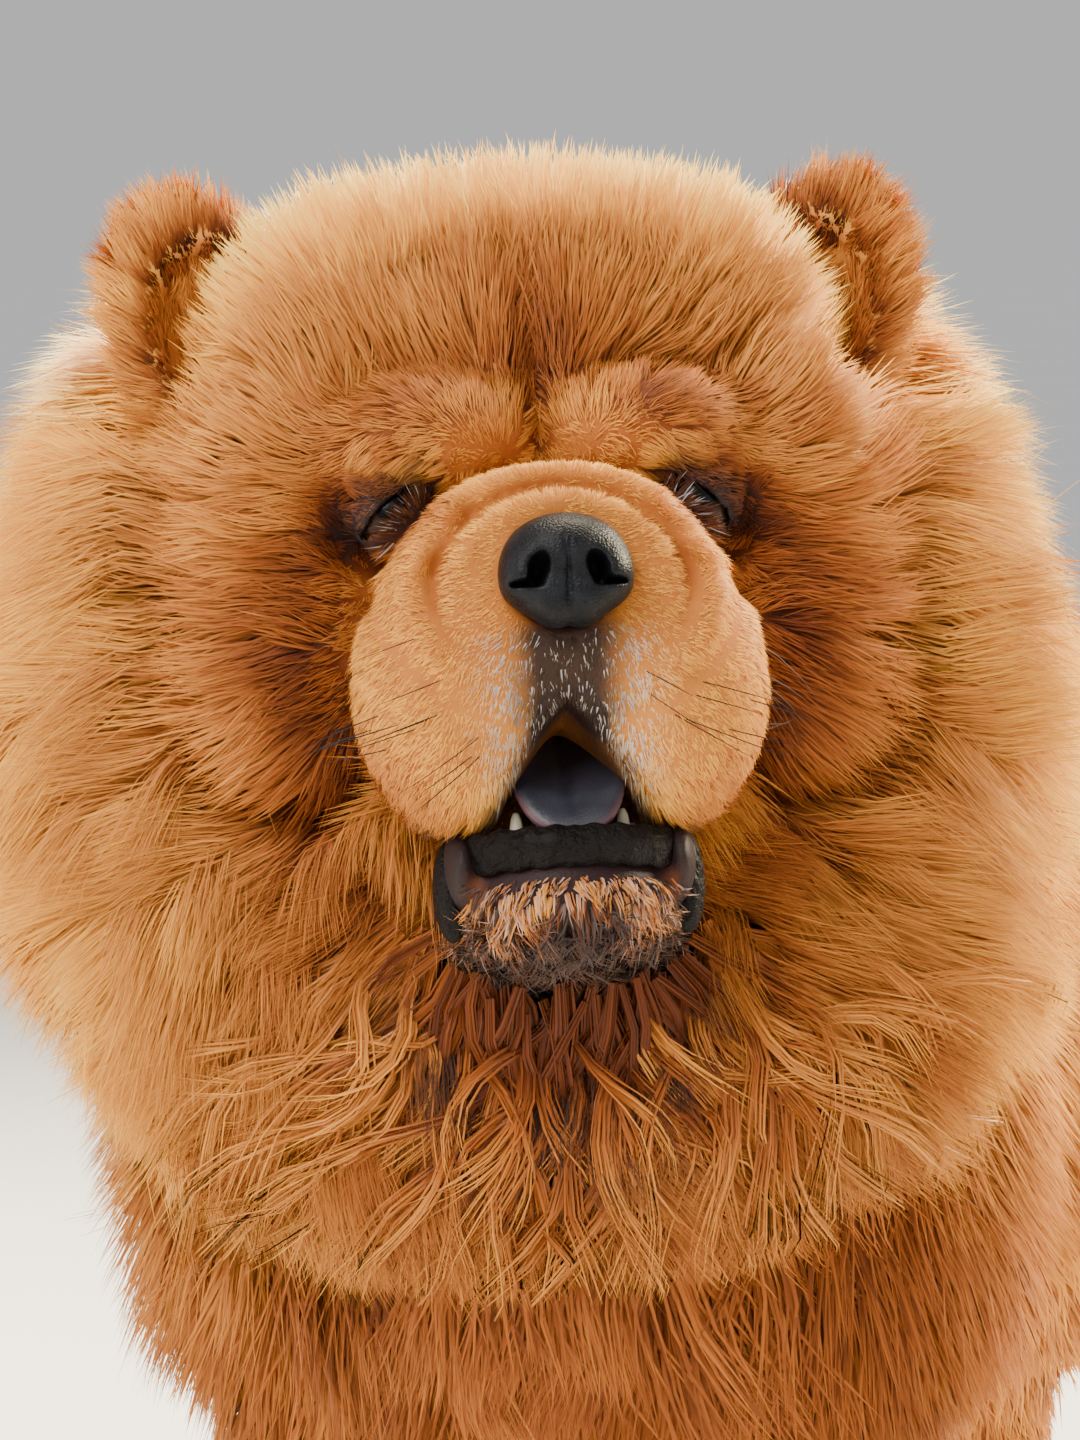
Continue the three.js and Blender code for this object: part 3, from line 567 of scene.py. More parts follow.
# Markings, and painted light and shade, shared by skin and coat
def tone_at(p):
    """How pale a place is, from auburn at 0 to cream at 1, with painted light and painted shade worked in."""
    q = to_head(p)
    x, y, z = np.abs(q[:, 0]), q[:, 1], q[:, 2]
    away = np.hypot(q[:, 0], z + 10)
    front = soft(190, 120, y)
    wide = np.hypot(q[:, 0], z + 20)
    # Paler towards the ruff's outer edge: partly the coat's own paler ends, partly painted back light glowing
    # on the rim; the small extra for the lower sides is painted light on sides that lie in shade.
    pale_ruff_edge_and_painted_light = 0.33 * soft(104, 190, wide) + 0.06 * soft(120, 160, x) * soft(30, -10, z)
    tone = np.full(len(p), 0.45, F)
    tone += pale_ruff_edge_and_painted_light * soft(330, 250, y) * soft(-190, -120, z)
    # Paler on the top of the head: painted top light.
    tone += 0.06 * soft(104, 146, z) * soft(280, 200, y)
    ear = sided(q) - np.array(EAR_AT, F)
    in_cup = soft(1.1, 0.85, np.hypot(ear[:, 0] / 23, (ear[:, 2] - 6) / 34)) * soft(0, -6, ear[:, 1])
    # Darker inside the ear's cup: painted shade in the hollow.
    tone -= 0.36 * in_cup * soft(4, 1, ear_shape(q))
    tone -= 0.07 * soft(-120, -200, z) * soft(0, 60, y) * soft(150, 90, x)
    pad = soft(86, 70, away) * soft(100, 70, y)
    padding = 0.61 + 0.05 * (soft(0, -50, z) + soft(0, 30, z)) + 0.06 * soft(40, 16, x) * soft(-20, -50, z)
    tone = tone * (1 - pad) + padding * pad
    fold = np.hypot(x / 1.25, z + 4)
    # Darker along the groove round the muzzle pad: painted shade in the crease.
    tone -= 0.07 * bump(fold, 35.5, 2.6) * soft(-30, 6, z) * pad
    # Darker in the band between the muzzle and the cheeks: painted shade in the groove there.
    tone -= 0.24 * bump(away, 82, 13) * soft(60, 10, z) * front * soft(50, 76, y)
    eye = np.hypot(x - EYE_AT[0] - 2, (z - EYE_AT[2]) * 1.3)
    # Darker round the eyes: painted shade of the deep-set eyes under the brows.
    tone -= 0.28 * soft(31, 12, eye) * front
    # Darker down the furrow of the forehead: painted shade in the crease.
    tone -= 0.22 * bump(x, 0, 7 + np.maximum(z - 70, 0) * 0.42) * soft(40, 62, z) * soft(128, 96, z) * front
    # Darker along the crease across the forehead: painted shade.
    tone -= 0.12 * bump(z, 118 - x * x * 0.004, 7) * bump(x, 0, 50) * front
    tone -= 0.09 * bump(np.hypot(x - 37, z - 66), 0, 26) * front
    # Much darker under the chin: painted shade under the jaw.
    tone -= 0.36 * soft(-116, -126, z) * soft(-190, -150, z) * soft(64, 40, x) * soft(190, 150, y)
    body = soft(-150, -30, p[:, 1])
    tone = tone * (1 - body) + 0.50 * body
    # Darker on the low chest under the head and ruff: painted shade.
    low_chest_shade = soft(470, 400, p[:, 2]) * (1 - body) * soft(160, 70, np.abs(p[:, 0] - NOSE_AT[0] / 2))
    tone = tone * (1 - low_chest_shade) + 0.26 * low_chest_shade
    legs = soft(230, 120, p[:, 2])
    tone = tone * (1 - legs) + 0.50 * legs
    return tone + 0.17 * soft(285, 330, p[:, 1]) * soft(470, 400, p[:, 2])


def dark_at(p):
    """How black a place is: under the nose, round the mouth, on the lower lips, and round the eyes, where the
    black lid rims run out into painted shade.
    """
    q = to_head(p)
    x, y, z = np.abs(q[:, 0]), q[:, 1], q[:, 2]
    under_nose = soft(25, 9, x) * soft(-12, -21, z) * soft(-60, -46, z) * soft(45, 20, y)
    rim = soft(7.5, 1.0, np.abs(mouth_gap(q))) * soft(70, 40, y) * soft(-36, -46, z) * soft(120, 96, -z)
    lip = soft(28, 40, x) * soft(-124, -112, z)
    dark = np.clip(under_nose * 0.95 + rim * 0.8, 0, 0.97)
    dark = np.maximum(dark, soft(7, 1, jaw_shape(q)) * np.maximum(soft(-106, -98, z), lip) * 0.97)
    lids = socket_shape(q)
    # Black lid rims at the slit; the wider, fainter band round them is painted shade of the deep-set eyes.
    eye_rims_and_shade = np.maximum(0.97 * soft(4.5, 1.5, lids), 0.8 * soft(11, 4, lids))
    return np.maximum(dark, eye_rims_and_shade * soft(104, 88, y))


def grey_at(p):
    """How grey a place is: beside the mouth's peak and along the foot of the nose."""
    q = to_head(p)
    x, y, z = np.abs(q[:, 0]), q[:, 1], q[:, 2]
    grey = 0.85 * bump(x, 20, 9) * soft(-14, -26, z) * soft(-88, -56, z) * soft(50, 20, y)
    return np.maximum(grey, 0.6 * soft(25, 20, np.hypot(q[:, 0], z + 2)) * soft(10, 2, y) * soft(8, 0, z))


FACE_BOX = np.array([(-100, -402, 408), (168, -196, 730)], F)


def in_box(points, box, margin):
    return ((points > box[0] + margin) & (points < box[1] - margin)).all(-1)


def skin_mesh():
    """The whole skin, finer over the face; the two levels lie on the same surface and overlap a little."""
    points, quads = level_mesh(skin_distance, (-240, -405, -6), (245, 405, 740), GRID)
    quads = quads[~in_box(points[quads].mean(1), FACE_BOX, 3 * FACE_GRID + 4)]
    fine, fine_quads = level_mesh(skin_distance, FACE_BOX[0], FACE_BOX[1], FACE_GRID)
    fine_quads = fine_quads[in_box(fine[fine_quads].mean(1), FACE_BOX, 2.6 * FACE_GRID)]
    quads = np.concatenate([quads, fine_quads + len(points)])
    points = np.concatenate([points, fine])
    used, quads = np.unique(quads, return_inverse=True)
    return points[used], quads.reshape(-1, 4)


SKIN_POINTS, SKIN_QUADS = skin_mesh()
skin = new_mesh("skin", SKIN_POINTS, SKIN_QUADS, SKIN)
in_head = to_head(SKIN_POINTS)
inside_mouth = soft(1.5, -3, np.maximum(mouth_gap(in_head), -40)) * soft(140, 120, in_head[:, 1])
from_jaw = jaw_room(in_head)
under_lip = soft(3, -2, from_jaw) * soft(-70, -84, in_head[:, 2]) * soft(8, 3, np.abs(from_jaw))
# The skin and undercoat take a darker tone than the coat, so the gaps between hairs look dark: painted shade
# deep in the coat.
give(skin, "tone", tone_at(SKIN_POINTS) - 0.14)
give(skin, "dark", np.maximum(dark_at(SKIN_POINTS), 0.9 * under_lip * soft(52, 40, np.abs(in_head[:, 0]))))
give(skin, "throat", inside_mouth)
FLESH = ["head", "jaw", "ear_left", "ear_right", "neck_ruff", "torso", "tail_root", "tail_plume"]
FLESH += [f"{part}_{side}" for part in ("front_leg", "front_paw", "thigh", "hind_leg", "hind_paw")
          for side in ("left", "right")]
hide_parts(*FLESH)


# Coat: thin tapered blades of hair over the skin, gathered in tufts
rng = np.random.default_rng(11)


def corner_noise(cells, salt):
    """Three even random numbers for each cell, the same each run."""
    mixed = (cells * np.array([73856093, 19349663, 83492791]) + salt * 2654435).astype(np.int64)
    out = []
    for k, swap in enumerate(([0, 1, 2], [1, 2, 0], [2, 0, 1])):
        a = mixed[..., swap]
        h = (a[..., 0] ^ (a[..., 1] << 7) ^ (a[..., 2] << 13)) + 374761393 * (k + 1)
        h = (h ^ (h >> 13)) * 1274126177 & 0x7FFFFFFF
        out.append(((h ^ (h >> 16)) & 0xFFFF) / 65535.0)
    return np.stack(out, -1)


def tufts(points, size, salt):
    """The middle of the tuft that each root belongs to, and the tuft's three random numbers."""
    cell = np.floor(points / size).astype(np.int64)
    best = np.full(len(points), 1e9)
    middle = np.zeros((len(points), 3))
    chance = np.zeros((len(points), 3))
    for offset in np.ndindex(3, 3, 3):
        near = cell + np.array(offset) - 1
        spot = (near + corner_noise(near, salt)) * size
        d = ((points - spot) ** 2).sum(1)
        closer = d < best
        best = np.where(closer, d, best)
        middle[closer] = spot[closer]
        chance[closer] = corner_noise(near[closer], salt + 9)
    return middle, chance


def flat_on(v, n):
    return unit(v - n * (v * n).sum(-1, keepdims=True))


# The skin's faces, with their size, middle, direction and the part of the body that each is on
corner = SKIN_POINTS[SKIN_QUADS]
FACE_MIDDLE = corner.mean(1)
cross = np.cross(corner[:, 2] - corner[:, 0], corner[:, 3] - corner[:, 1])
FACE_AREA = np.linalg.norm(cross, axis=1) / 2
distances = np.stack([part_distance(name, FACE_MIDDLE) for name in NAMES])
distances[NAMES.index("muzzle")] -= 4.5
FACE_PART = np.argmin(distances, 0)
POINT_OUT = np.zeros_like(SKIN_POINTS)
for k in range(4):
    np.add.at(POINT_OUT, SKIN_QUADS[:, k], cross)
POINT_OUT = unit(POINT_OUT)


def everywhere(p):
    return np.ones(len(p))


def roots_on(parts, per_mm2, keep, weight):
    """Random roots over the named parts: their place, outward direction, and part."""
    area = FACE_AREA * np.isin(FACE_PART, [NAMES.index(name) for name in parts]) * weight(FACE_MIDDLE)
    total = area.sum()
    count = int(total * per_mm2 * FUR)
    face = rng.choice(len(area), count, p=area / total)
    share = rng.random((count, 2, 1)).astype(F)
    a, b = share[:, 0], share[:, 1]
    quad = SKIN_QUADS[face]
    mixed = [(1 - a) * (1 - b), a * (1 - b), a * b, (1 - a) * b]
    place = sum(w * SKIN_POINTS[quad[:, k]] for k, w in enumerate(mixed))
    out = unit(sum(w * POINT_OUT[quad[:, k]] for k, w in enumerate(mixed)))
    good = (keep(to_head(place)) > 0) & ((place[:, 2] > 3) | (out[:, 2] > -0.3))
    return place[good], out[good], FACE_PART[face][good]


ATLAS = 9  # charts along each side of the coat's map
PIECE_TRIANGLES = 195_000
PATCH = 0.003  # how wide each blade's patch of the map is


def patch_middle(place, out, part):
    """Where a root lies on an unwrap of the skin: one chart for each part and direction it faces."""
    axis = np.argmax(np.abs(out), 1)
    side = (out[np.arange(len(out)), axis] > 0).astype(int)
    chart = part * 6 + axis * 2 + side
    other = np.array([(1, 2), (0, 2), (0, 1)])[axis]
    u = np.take_along_axis(place, other[:, :1], 1)[:, 0]
    v = np.take_along_axis(place, other[:, 1:], 1)[:, 0]
    box = np.array([REACH[name] for name in NAMES], float)[part]
    low = np.take_along_axis(box[:, 0], other, 1)
    size = np.take_along_axis(box[:, 1], other, 1) - low
    at = (np.stack([u, v], 1) - low) / size
    cell = np.stack([chart % ATLAS, chart // ATLAS], 1)
    return (cell + 0.04 + 0.88 * np.clip(at, 0, 1)) / ATLAS


def blades(name, root, out, part, path, width, tone, dark=0.0, grey=0.0,
           tilt=0.35, material=HAIR, round_off=0.6):
    """Joins tapered blades, one along each path, into pieces of coat that are each under the size limit."""
    count, rows = len(root), path.shape[1] - 1
    path = path.astype(F)
    along = np.gradient(path, axis=1)
    facing = out + (rng.random((count, 3)) - 0.5) * 2 * tilt
    across = unit(np.cross(along, facing[:, None, :]))
    t = np.linspace(0, 1, rows + 1)
    taper = np.interp(t, (0, 0.3, 0.7, 1), (0.7, 1, 0.75, 0))
    if rows == 3:
        taper = np.array([0.75, 1.0, 0.8, 0.0])
    half = across * (width[:, None, None] * taper[None, :, None] / 2)

    def two_sided(left, right):
        """One row of values a point: two at each level of the blade, and one at its tip."""
        pairs = np.stack([left[:, :-1], right[:, :-1]], 2)
        return np.concatenate([pairs.reshape(count, rows * 2, -1), left[:, -1:].reshape(count, 1, -1)], 1)

    verts = two_sided(path - half, path + half)
    flat = unit(np.cross(across, along))
    flat *= np.sign((flat * out[:, None]).sum(-1, keepdims=True)) + 1e-6
    shaded = unit(flat * (1 - round_off) + out[:, None] * round_off)
    shaded = two_sided(shaded, shaded).astype(F)
    quad = np.array([(2 * r, 2 * r + 1, 2 * r + 3, 2 * r + 2) for r in range(rows - 1)])
    end = np.array([(2 * rows - 2, 2 * rows - 1, 2 * rows)])
    base = patch_middle(root, out, part)
    spots = np.concatenate([np.stack([np.tile([0, 1], rows), np.repeat(t[:-1], 2)], 1), [(0.5, 1)]])
    marks = {}
    for key, value in (("tone", tone), ("dark", dark), ("grey", grey)):
        value = np.asarray(value, F)
        value = value if value.ndim == 2 else value.reshape(-1, 1)
        value = np.broadcast_to(value, (count, rows + 1))
        marks[key] = two_sided(value, value)
    pieces = math.ceil(count / (PIECE_TRIANGLES // (2 * rows - 1)))
    for k in range(pieces):
        mine = slice(k * count // pieces, (k + 1) * count // pieces)
        first = (np.arange(len(root[mine])) * (rows * 2 + 1))[:, None, None]
        quads = (quad[None] + first).reshape(-1, 4)
        ends = (end[None] + first).reshape(-1, 3)
        piece = new_mesh(f"{name}_{k + 1}", verts[mine].reshape(-1, 3), [quads, ends], material)
        piece.data.normals_split_custom_set_from_vertices(shaded[mine].reshape(-1, 3))
        for key, value in marks.items():
            give(piece, key, value[mine])
        uv = (base[mine][:, None, :] + (spots[None] - 0.5) * PATCH).reshape(-1, 2)
        layer = piece.data.uv_layers.new(name="OFBake")
        layer.uv.foreach_set("vector", uv[np.concatenate([quads.ravel(), ends.ravel()])].astype(F).ravel())


def full_coat(p):
    """The distance to the coat's outer shape, the same as the solids'."""
    q = to_head(p)
    far = [head_shape(q, 0.0), ear_shape(q, -2.0), ruff_shape(p), torso_shape(p), thigh_shape(p),
           column(p, FRONT_LEG, 0.0), column(p, HIND_LEG, 0.0), jaw_shape(q) - 10]
    near_tail = ((p > (-190, 20, 400)) & (p < (110, 420, 680))).all(-1)
    tail = np.full(len(p), FAR, F)
    tail[near_tail] = tail_shape(p[near_tail])
    return np.minimum.reduce(far + [tail])


class Hair:
    """Hairs rooted over the named parts, with the tufts that they gather in."""

    def __init__(self, parts, per_mm2, tuft, salt, keep=everywhere, weight=everywhere):
        self.root, self.out, self.part = roots_on(parts, per_mm2, keep, weight)
        self.q = to_head(self.root)
        self.middle, self.chance = tufts(self.root, tuft, salt)

    def spread(self, low, high):
        return rng.uniform(low, high, len(self.root))

    def sway(self, lie, amount):
        """The lie, a little different for each tuft and each hair."""
        return unit(lie) + (self.chance - 0.5) * 2 * amount + rng.normal(0, 0.11, lie.shape)

    def grow(self, lie, length, rise, fall, rows=3, gather=0.0, wave=0.0):
        """Paths that leave the skin at the angle rise and end at the angle fall to it, in degrees."""
        t = np.linspace(0, 1, rows + 1)[None, :, None]
        lie = flat_on(lie, self.out)
        a, b = np.radians(rise)[:, None], np.radians(fall)[:, None]
        first = lie * np.cos(a) + self.out * np.sin(a)
        last = lie * np.cos(b) + self.out * np.sin(b)
        start = (self.root - self.out)[:, None]
        bend = start + (first * length[:, None] * 0.5)[:, None]
        tip = bend + (last * length[:, None] * 0.5)[:, None]
        pull = self.middle - self.root
        pull = pull - self.out * (pull * self.out).sum(1, keepdims=True)
        side = np.cross(lie, self.out)[:, None]
        phase = (self.chance[:, 0] * 6.28)[:, None, None]
        path = start * (1 - t) ** 2 + 2 * bend * t * (1 - t) + tip * t * t
        path = path + pull[:, None] * gather * t ** 1.3
        self.path = path + side * np.sin(phase + t * 5.0) * wave * t * length[:, None, None] / 60

    def trim(self, most=7.0, more=0.0):
        """Shortens each hair that would pass the coat's outer shape by more than its tuft's own margin."""
        margin = -4 + (most + 4) * self.chance[:, 0] + rng.exponential(2.0, len(self.root)) + more
        reach = self.path[:, -1] - self.root
        scale = np.ones(len(self.root))
        todo = np.arange(len(self.root))
        for share in (1.0, 0.9, 0.8, 0.7, 0.6, 0.5, 0.4, 0.3):
            scale[todo] = share
            todo = todo[full_coat((self.root[todo] + reach[todo] * share).astype(F)) > margin[todo]]
        self.path = self.root[:, None] + (self.path - self.root[:, None]) * scale[:, None, None]

    def shades(self, base, lift, amount=0.12):
        """Tones darker at the root and paler at the tip, with each tuft a little different."""
        t = np.linspace(0, 1, self.path.shape[1])[None]
        own = (self.chance[:, 1] - 0.5)[:, None] * 2 * amount + rng.normal(0, 0.045, (len(base), 1))
        return base[:, None] + own + np.reshape(lift, (-1, 1)) * (t - 0.35)

    def blades(self, name, width, tone, dark=0.0, grey=0.0):
        blades(name, self.root, self.out, self.part, self.path, width, tone, dark, grey)


def from_eye(q):
    return np.hypot(np.abs(q[:, 0]) - EYE_AT[0], q[:, 2] - EYE_AT[2])


def away_from_mouth(q):
    inner = (mouth_gap(q) < 1.5) & (q[:, 1] < 112) | (jaw_shape(q) < 2.5) & (q[:, 2] > -103)
    under = (jaw_room(q) < 1.0) & (q[:, 2] > -150) & (np.abs(q[:, 0]) < 50) & (jaw_shape(q) > 2.5)
    under &= q[:, 1] < 100
    nose = (np.hypot(q[:, 0] / 1.06, q[:, 2]) < 21) & (q[:, 1] < 22)
    eye = (socket_shape(q) < 1.2) & (q[:, 1] < 100)
    return ~(inner | under | nose | eye)


def muzzle_fur():
    hair = Hair(["muzzle"], 1.6, 7, 1, away_from_mouth)
    x, y, z = hair.q.T
    length = (4.5 + 5.5 * soft(12, 70, y) + 4 * soft(-66, -84, z)) * hair.spread(0.75, 1.25)
    lie = head_way(x * 0.9, 26, (z + 4) * 0.75 - 14)
    hair.grow(hair.sway(lie, 0.22), length, hair.spread(18, 36), hair.spread(2, 16), 2, 0.25)
    dark = dark_at(hair.root)
    tone = hair.shades(tone_at(hair.root), 0.12, 0.04)
    grey = grey_at(hair.root) * (rng.random(len(tone)) < 0.75)
    pale = (rng.random(len(tone)) > 0.86) & (dark > 0.4)
    dark, grey = np.where(pale, 0.2, dark), np.where(pale, 0.95, grey)
    hair.blades("fur_muzzle", hair.spread(0.45, 0.8), tone, dark, grey)


def face_lie(q):
    """Over the head the hair runs up and back from the brow, and outwards over the cheeks."""
    x, z = q[:, 0], q[:, 2]
    up = soft(20, 110, z)
    lie = unit(rows_of(x, 0, z + 5)) + rows_of(0, 0.5 + 0.5 * up, 0.25 * up - 0.1)
    over_eye = bump(np.hypot((np.abs(x) - 50) / 1.5, z - 50), 0, 20)[:, None]
    lie = lie * (1 - over_eye) + rows_of(np.sign(x), 0.1, -0.5) * over_eye
    return head_way(*lie.T)


def face_fur():
    def near(p):
        q = to_head(p)
        return (0.45 + 0.9 * soft(110, 80, q[:, 1])) * (1 + 1.2 * soft(36, 20, from_eye(q)))
    hair = Hair(["face"], 0.56, 12, 2, away_from_mouth, near)
    x, z = np.abs(hair.q[:, 0]), hair.q[:, 2]
    away = np.hypot(x, z + 10)
    length = 9 + 19 * soft(60, 115, z) + 30 * soft(62, 110, away) * soft(60, 0, z)
    length = length * (0.36 + 0.64 * soft(12, 38, from_eye(hair.q))) * hair.spread(0.75, 1.25)
    length *= 0.55 + 0.45 * soft(60, 82, away)
    length += 24 * soft(88, 125, away) * soft(110, 80, z) * (0.3 + 1.4 * hair.chance[:, 2])
    length += 9 * bump(np.hypot((x - 52) / 1.7, z - 45), 0, 9)
    rise = 32 + 20 * soft(70, 120, z)
    hair.grow(hair.sway(face_lie(hair.q), 0.3), length, rise + hair.spread(-10, 10),
              rise * 0.5 + hair.spread(-10, 10), 3, 0.42, 2.0)
    hair.trim(4)
    tone = hair.shades(tone_at(hair.root), 0.18, 0.06)
    width = np.clip(length * 0.032, 0.5, 0.95) * hair.spread(0.8, 1.2)
    # The dark marks carry the painted shade round the eyes.
    hair.blades("fur_face", width, tone, dark_at(hair.root) * 0.8)


def ear_fur():
    hair = Hair(["ear"], 1.1, 9, 3, lambda q: ear_shape(q) < 3)
    x, y, z = (sided(hair.q) - np.array(EAR_AT)).T
    cup = soft(1.25, 0.95, np.hypot((x - 2) / 22, (z - 6) / 33)) * soft(-4, -10, y)
    rim = soft(0.55, 0.95, np.hypot(x / 33, z / 46)) * (1 - cup)
    lie = head_way(np.sign(hair.q[:, 0]) * (x * 0.6 + 6), 8 - 20 * cup, z * 0.4 + 18)
    length = (10 + 9 * rim - 5.5 * cup) * hair.spread(0.7, 1.25)
    hair.grow(hair.sway(lie, 0.25), length, hair.spread(30, 50), hair.spread(10, 30), 2, 0.35)
    # The cup's hair is darker: painted shade in the hollow of the ear.
    tone = hair.shades(0.47 - 0.42 * cup + 0.10 * rim, 0.16)
    hair.blades("fur_ears", hair.spread(0.55, 0.9), tone)


def ruff_lie(p, q):
    """Outwards from the face and back, then down under its own weight."""
    radial = unit(rows_of(q[:, 0], 0, q[:, 2] + 20)) + np.array([0, 0.3, 0])
    lie = head_way(*radial.T)
    lie[:, 2] -= 0.35 + 0.25 * soft(0, 120, np.abs(q[:, 0]))
    behind = soft(-150, -40, p[:, 1])[:, None]
    return lie * (1 - behind) + np.array([0, 1.0, -0.35]) * behind


def ruff_fur():
    hair = Hair(["ruff"], 0.60, 17, 4, lambda q: away_from_mouth(q) & (head_shape(q) > 1),
                lambda p: 0.4 + 0.8 * soft(250, 190, to_head(p)[:, 1]))
    x, y, z = hair.q.T
    away = np.hypot(x, z + 20)
    by_face = soft(175, 115, away)
    length = 66 + 40 * soft(80, 150, away)
    length = length * (0.78 + 0.44 * hair.chance[:, 2]) * hair.spread(0.8, 1.15)
    hair.grow(hair.sway(ruff_lie(hair.root, hair.q), 0.32), length, 46 + 22 * by_face + hair.spread(-9, 9),
              18 + 24 * by_face + hair.spread(-12, 14), 3, 0.5, 6.0)
    hair.trim(8, -20 * soft(10, 80, z) * soft(110, 160, np.abs(x)))
    lift = 0.24 + 0.14 * soft(90, 190, away)
    # Ruff hairs under the chin darkened: painted shade under the jaw.
    throat = 0.85 * soft(44, 24, np.hypot(x * 0.8, z + 120)) * soft(175, 145, y)
    hair.blades("fur_ruff", hair.spread(0.55, 1.0), hair.shades(tone_at(hair.root), lift, 0.08), throat)


def body_fur():
    hair = Hair(["torso"], 0.115, 20, 5, weight=lambda p: 0.7 + 1.5 * soft(-120, -220, p[:, 1]))
    x, y, z = hair.root.T
    chest = soft(-150, -215, y)[:, None]
    lie = rows_of(np.sign(x) * 0.1, 1, -0.35 - 0.5 * np.abs(hair.out[:, 0]))
    lie = lie * (1 - chest) + np.array([0, 0.1, -1]) * chest
    low = soft(-60, -130, y) * soft(470, 400, z)
    length = (66 + 34 * low) * (0.78 + 0.44 * hair.chance[:, 2]) * hair.spread(0.8, 1.15)
    hair.grow(hair.sway(lie, 0.28), length, 56 + 6 * low + hair.spread(-9, 9),
              20 + 10 * low + hair.spread(-12, 12), 3, 0.55, 4.0)
    hair.trim(more=24 * low)
    hair.blades("fur_body", hair.spread(1.3, 2.2), hair.shades(tone_at(hair.root), 0.2, 0.07))


def thigh_fur():
    hair = Hair(["thigh"], 0.13, 18, 6)
    rear = soft(230, 320, hair.root[:, 1])
    length = (46 + 26 * rear) * hair.spread(0.75, 1.2)
    hair.grow(hair.sway(rows_of(0, 0.45 + 0.25 * rear, -1), 0.25), length, 50 + hair.spread(-9, 9),
              16 + hair.spread(-12, 12), 3, 0.55, 4.0)
    hair.trim()
    hair.blades("fur_thighs", hair.spread(1.3, 2.2), hair.shades(tone_at(hair.root), 0.2, 0.07))


def leg_fur():
    hair = Hair(["foreleg", "hindleg"], 0.16, 14, 7)
    z = hair.root[:, 2]
    high, top = soft(110, 260, z), soft(230, 320, z)
    rear = soft(0.2, 0.9, hair.out[:, 1])
    length = (10 + 22 * high + 42 * top + 16 * rear * soft(70, 150, z)) * hair.spread(0.75, 1.25)
    hair.grow(hair.sway(rows_of(0, 0.15 + 0.3 * rear, -1), 0.2), length, 28 + 22 * high + hair.spread(-8, 8),
              10 + 10 * high + hair.spread(-8, 8), 2, 0.4, 2.0)
    hair.trim(5, 22 * top)
    width = 1.1 + 0.8 * high + hair.spread(-0.2, 0.3)
    hair.blades("fur_legs", width, hair.shades(tone_at(hair.root), 0.14, 0.05))


def paw_fur():
    hair = Hair(["paw"], 0.45, 9, 8)
    z = hair.root[:, 2]
    length = np.minimum((7 + 3 * soft(40, 8, z)) * hair.spread(0.7, 1.2), 2 + z * 1.1)
    lie = rows_of(0 * z, -0.5, -0.9)
    hair.grow(hair.sway(lie, 0.25), length, hair.spread(20, 35), hair.spread(4, 16), 2, 0.3)
    hair.path[..., 2] = np.maximum(hair.path[..., 2], 0.4)
    tone = hair.shades(tone_at(hair.root), 0.1, 0.05)
    hair.blades("fur_paws", hair.spread(0.8, 1.3), tone)


def tail_fur():
    hair = Hair(["tail"], 0.3, 20, 9)
    place, _ = tail_near(hair.root)
    t = place / (len(TAIL_LINE) - 1)
    length = (60 + 26 * t) * hair.spread(0.75, 1.15) * (0.85 + 0.3 * hair.chance[:, 2])
    hair.grow(hair.sway(TAIL_ALONG[place] + np.array([0, 0, -0.12]), 0.3), length, 62 + hair.spread(-10, 10),
              28 + hair.spread(-12, 12), 3, 0.55, 4.0)
    hair.trim()
    hair.blades("fur_tail", hair.spread(1.3, 2.2), hair.shades(0.60 + 0.1 * soft(0.2, 0.8, t), 0.2, 0.07))


def chin_fur():
    """Short tan and grey hair below the lower lip."""
    def below(q):
        black = (q[:, 2] > -103) | ((np.abs(q[:, 0]) > 36) & (q[:, 2] > -118))
        return ~black & (jaw_shape(q) < 4)
    hair = Hair(["jaw"], 1.0, 6, 10, below)
    x, z = np.abs(hair.q[:, 0]), hair.q[:, 2]
    length = (6 + 6 * soft(-104, -120, z)) * hair.spread(0.7, 1.3)
    lie = head_way(hair.q[:, 0] * 0.35, -4, -18)
    hair.grow(hair.sway(lie, 0.4), length, hair.spread(28, 55), hair.spread(0, 25), 3, 0.6, 2.0)
    side = soft(14, 34, x)
    # Darker and blacker on the chin's underside: painted shade under the jaw.
    under = np.maximum(soft(20, 12, x) * soft(-108, -116, z), soft(-116, -123, z))
    black = (rng.random(len(x)) < 0.12 + 0.5 * side) * (hair.chance[:, 0] < 0.35 + 0.5 * side)
    tone = 0.50 - 0.1 * side - 0.3 * under
    hair.blades("fur_chin", hair.spread(0.5, 0.9), hair.shades(tone, 0.1), np.maximum(black, under) * 0.85,
                0.35 * (rng.random(len(x)) < 0.5))


def ruff_front(x, z, share):
    """How far back the ruff's front lies, in the head's layout, where its coat is share deep."""
    ys = np.linspace(-60, 300, 91)
    places = from_head(rows_of(x[..., None], ys, z[..., None]))
    d = ruff_shape(places, share)
    first = np.where((d < 0).any(-1), np.argmax(d < 0, -1), len(ys) - 1)
    last_out = np.maximum(first - 1, 0)
    before = np.take_along_axis(d, last_out[..., None], -1)[..., 0]
    after = np.take_along_axis(d, first[..., None], -1)[..., 0]
    part = np.clip(before / (before - after + 1e-6), 0, 1)
    return ys[last_out] + part * (ys[1] - ys[0])


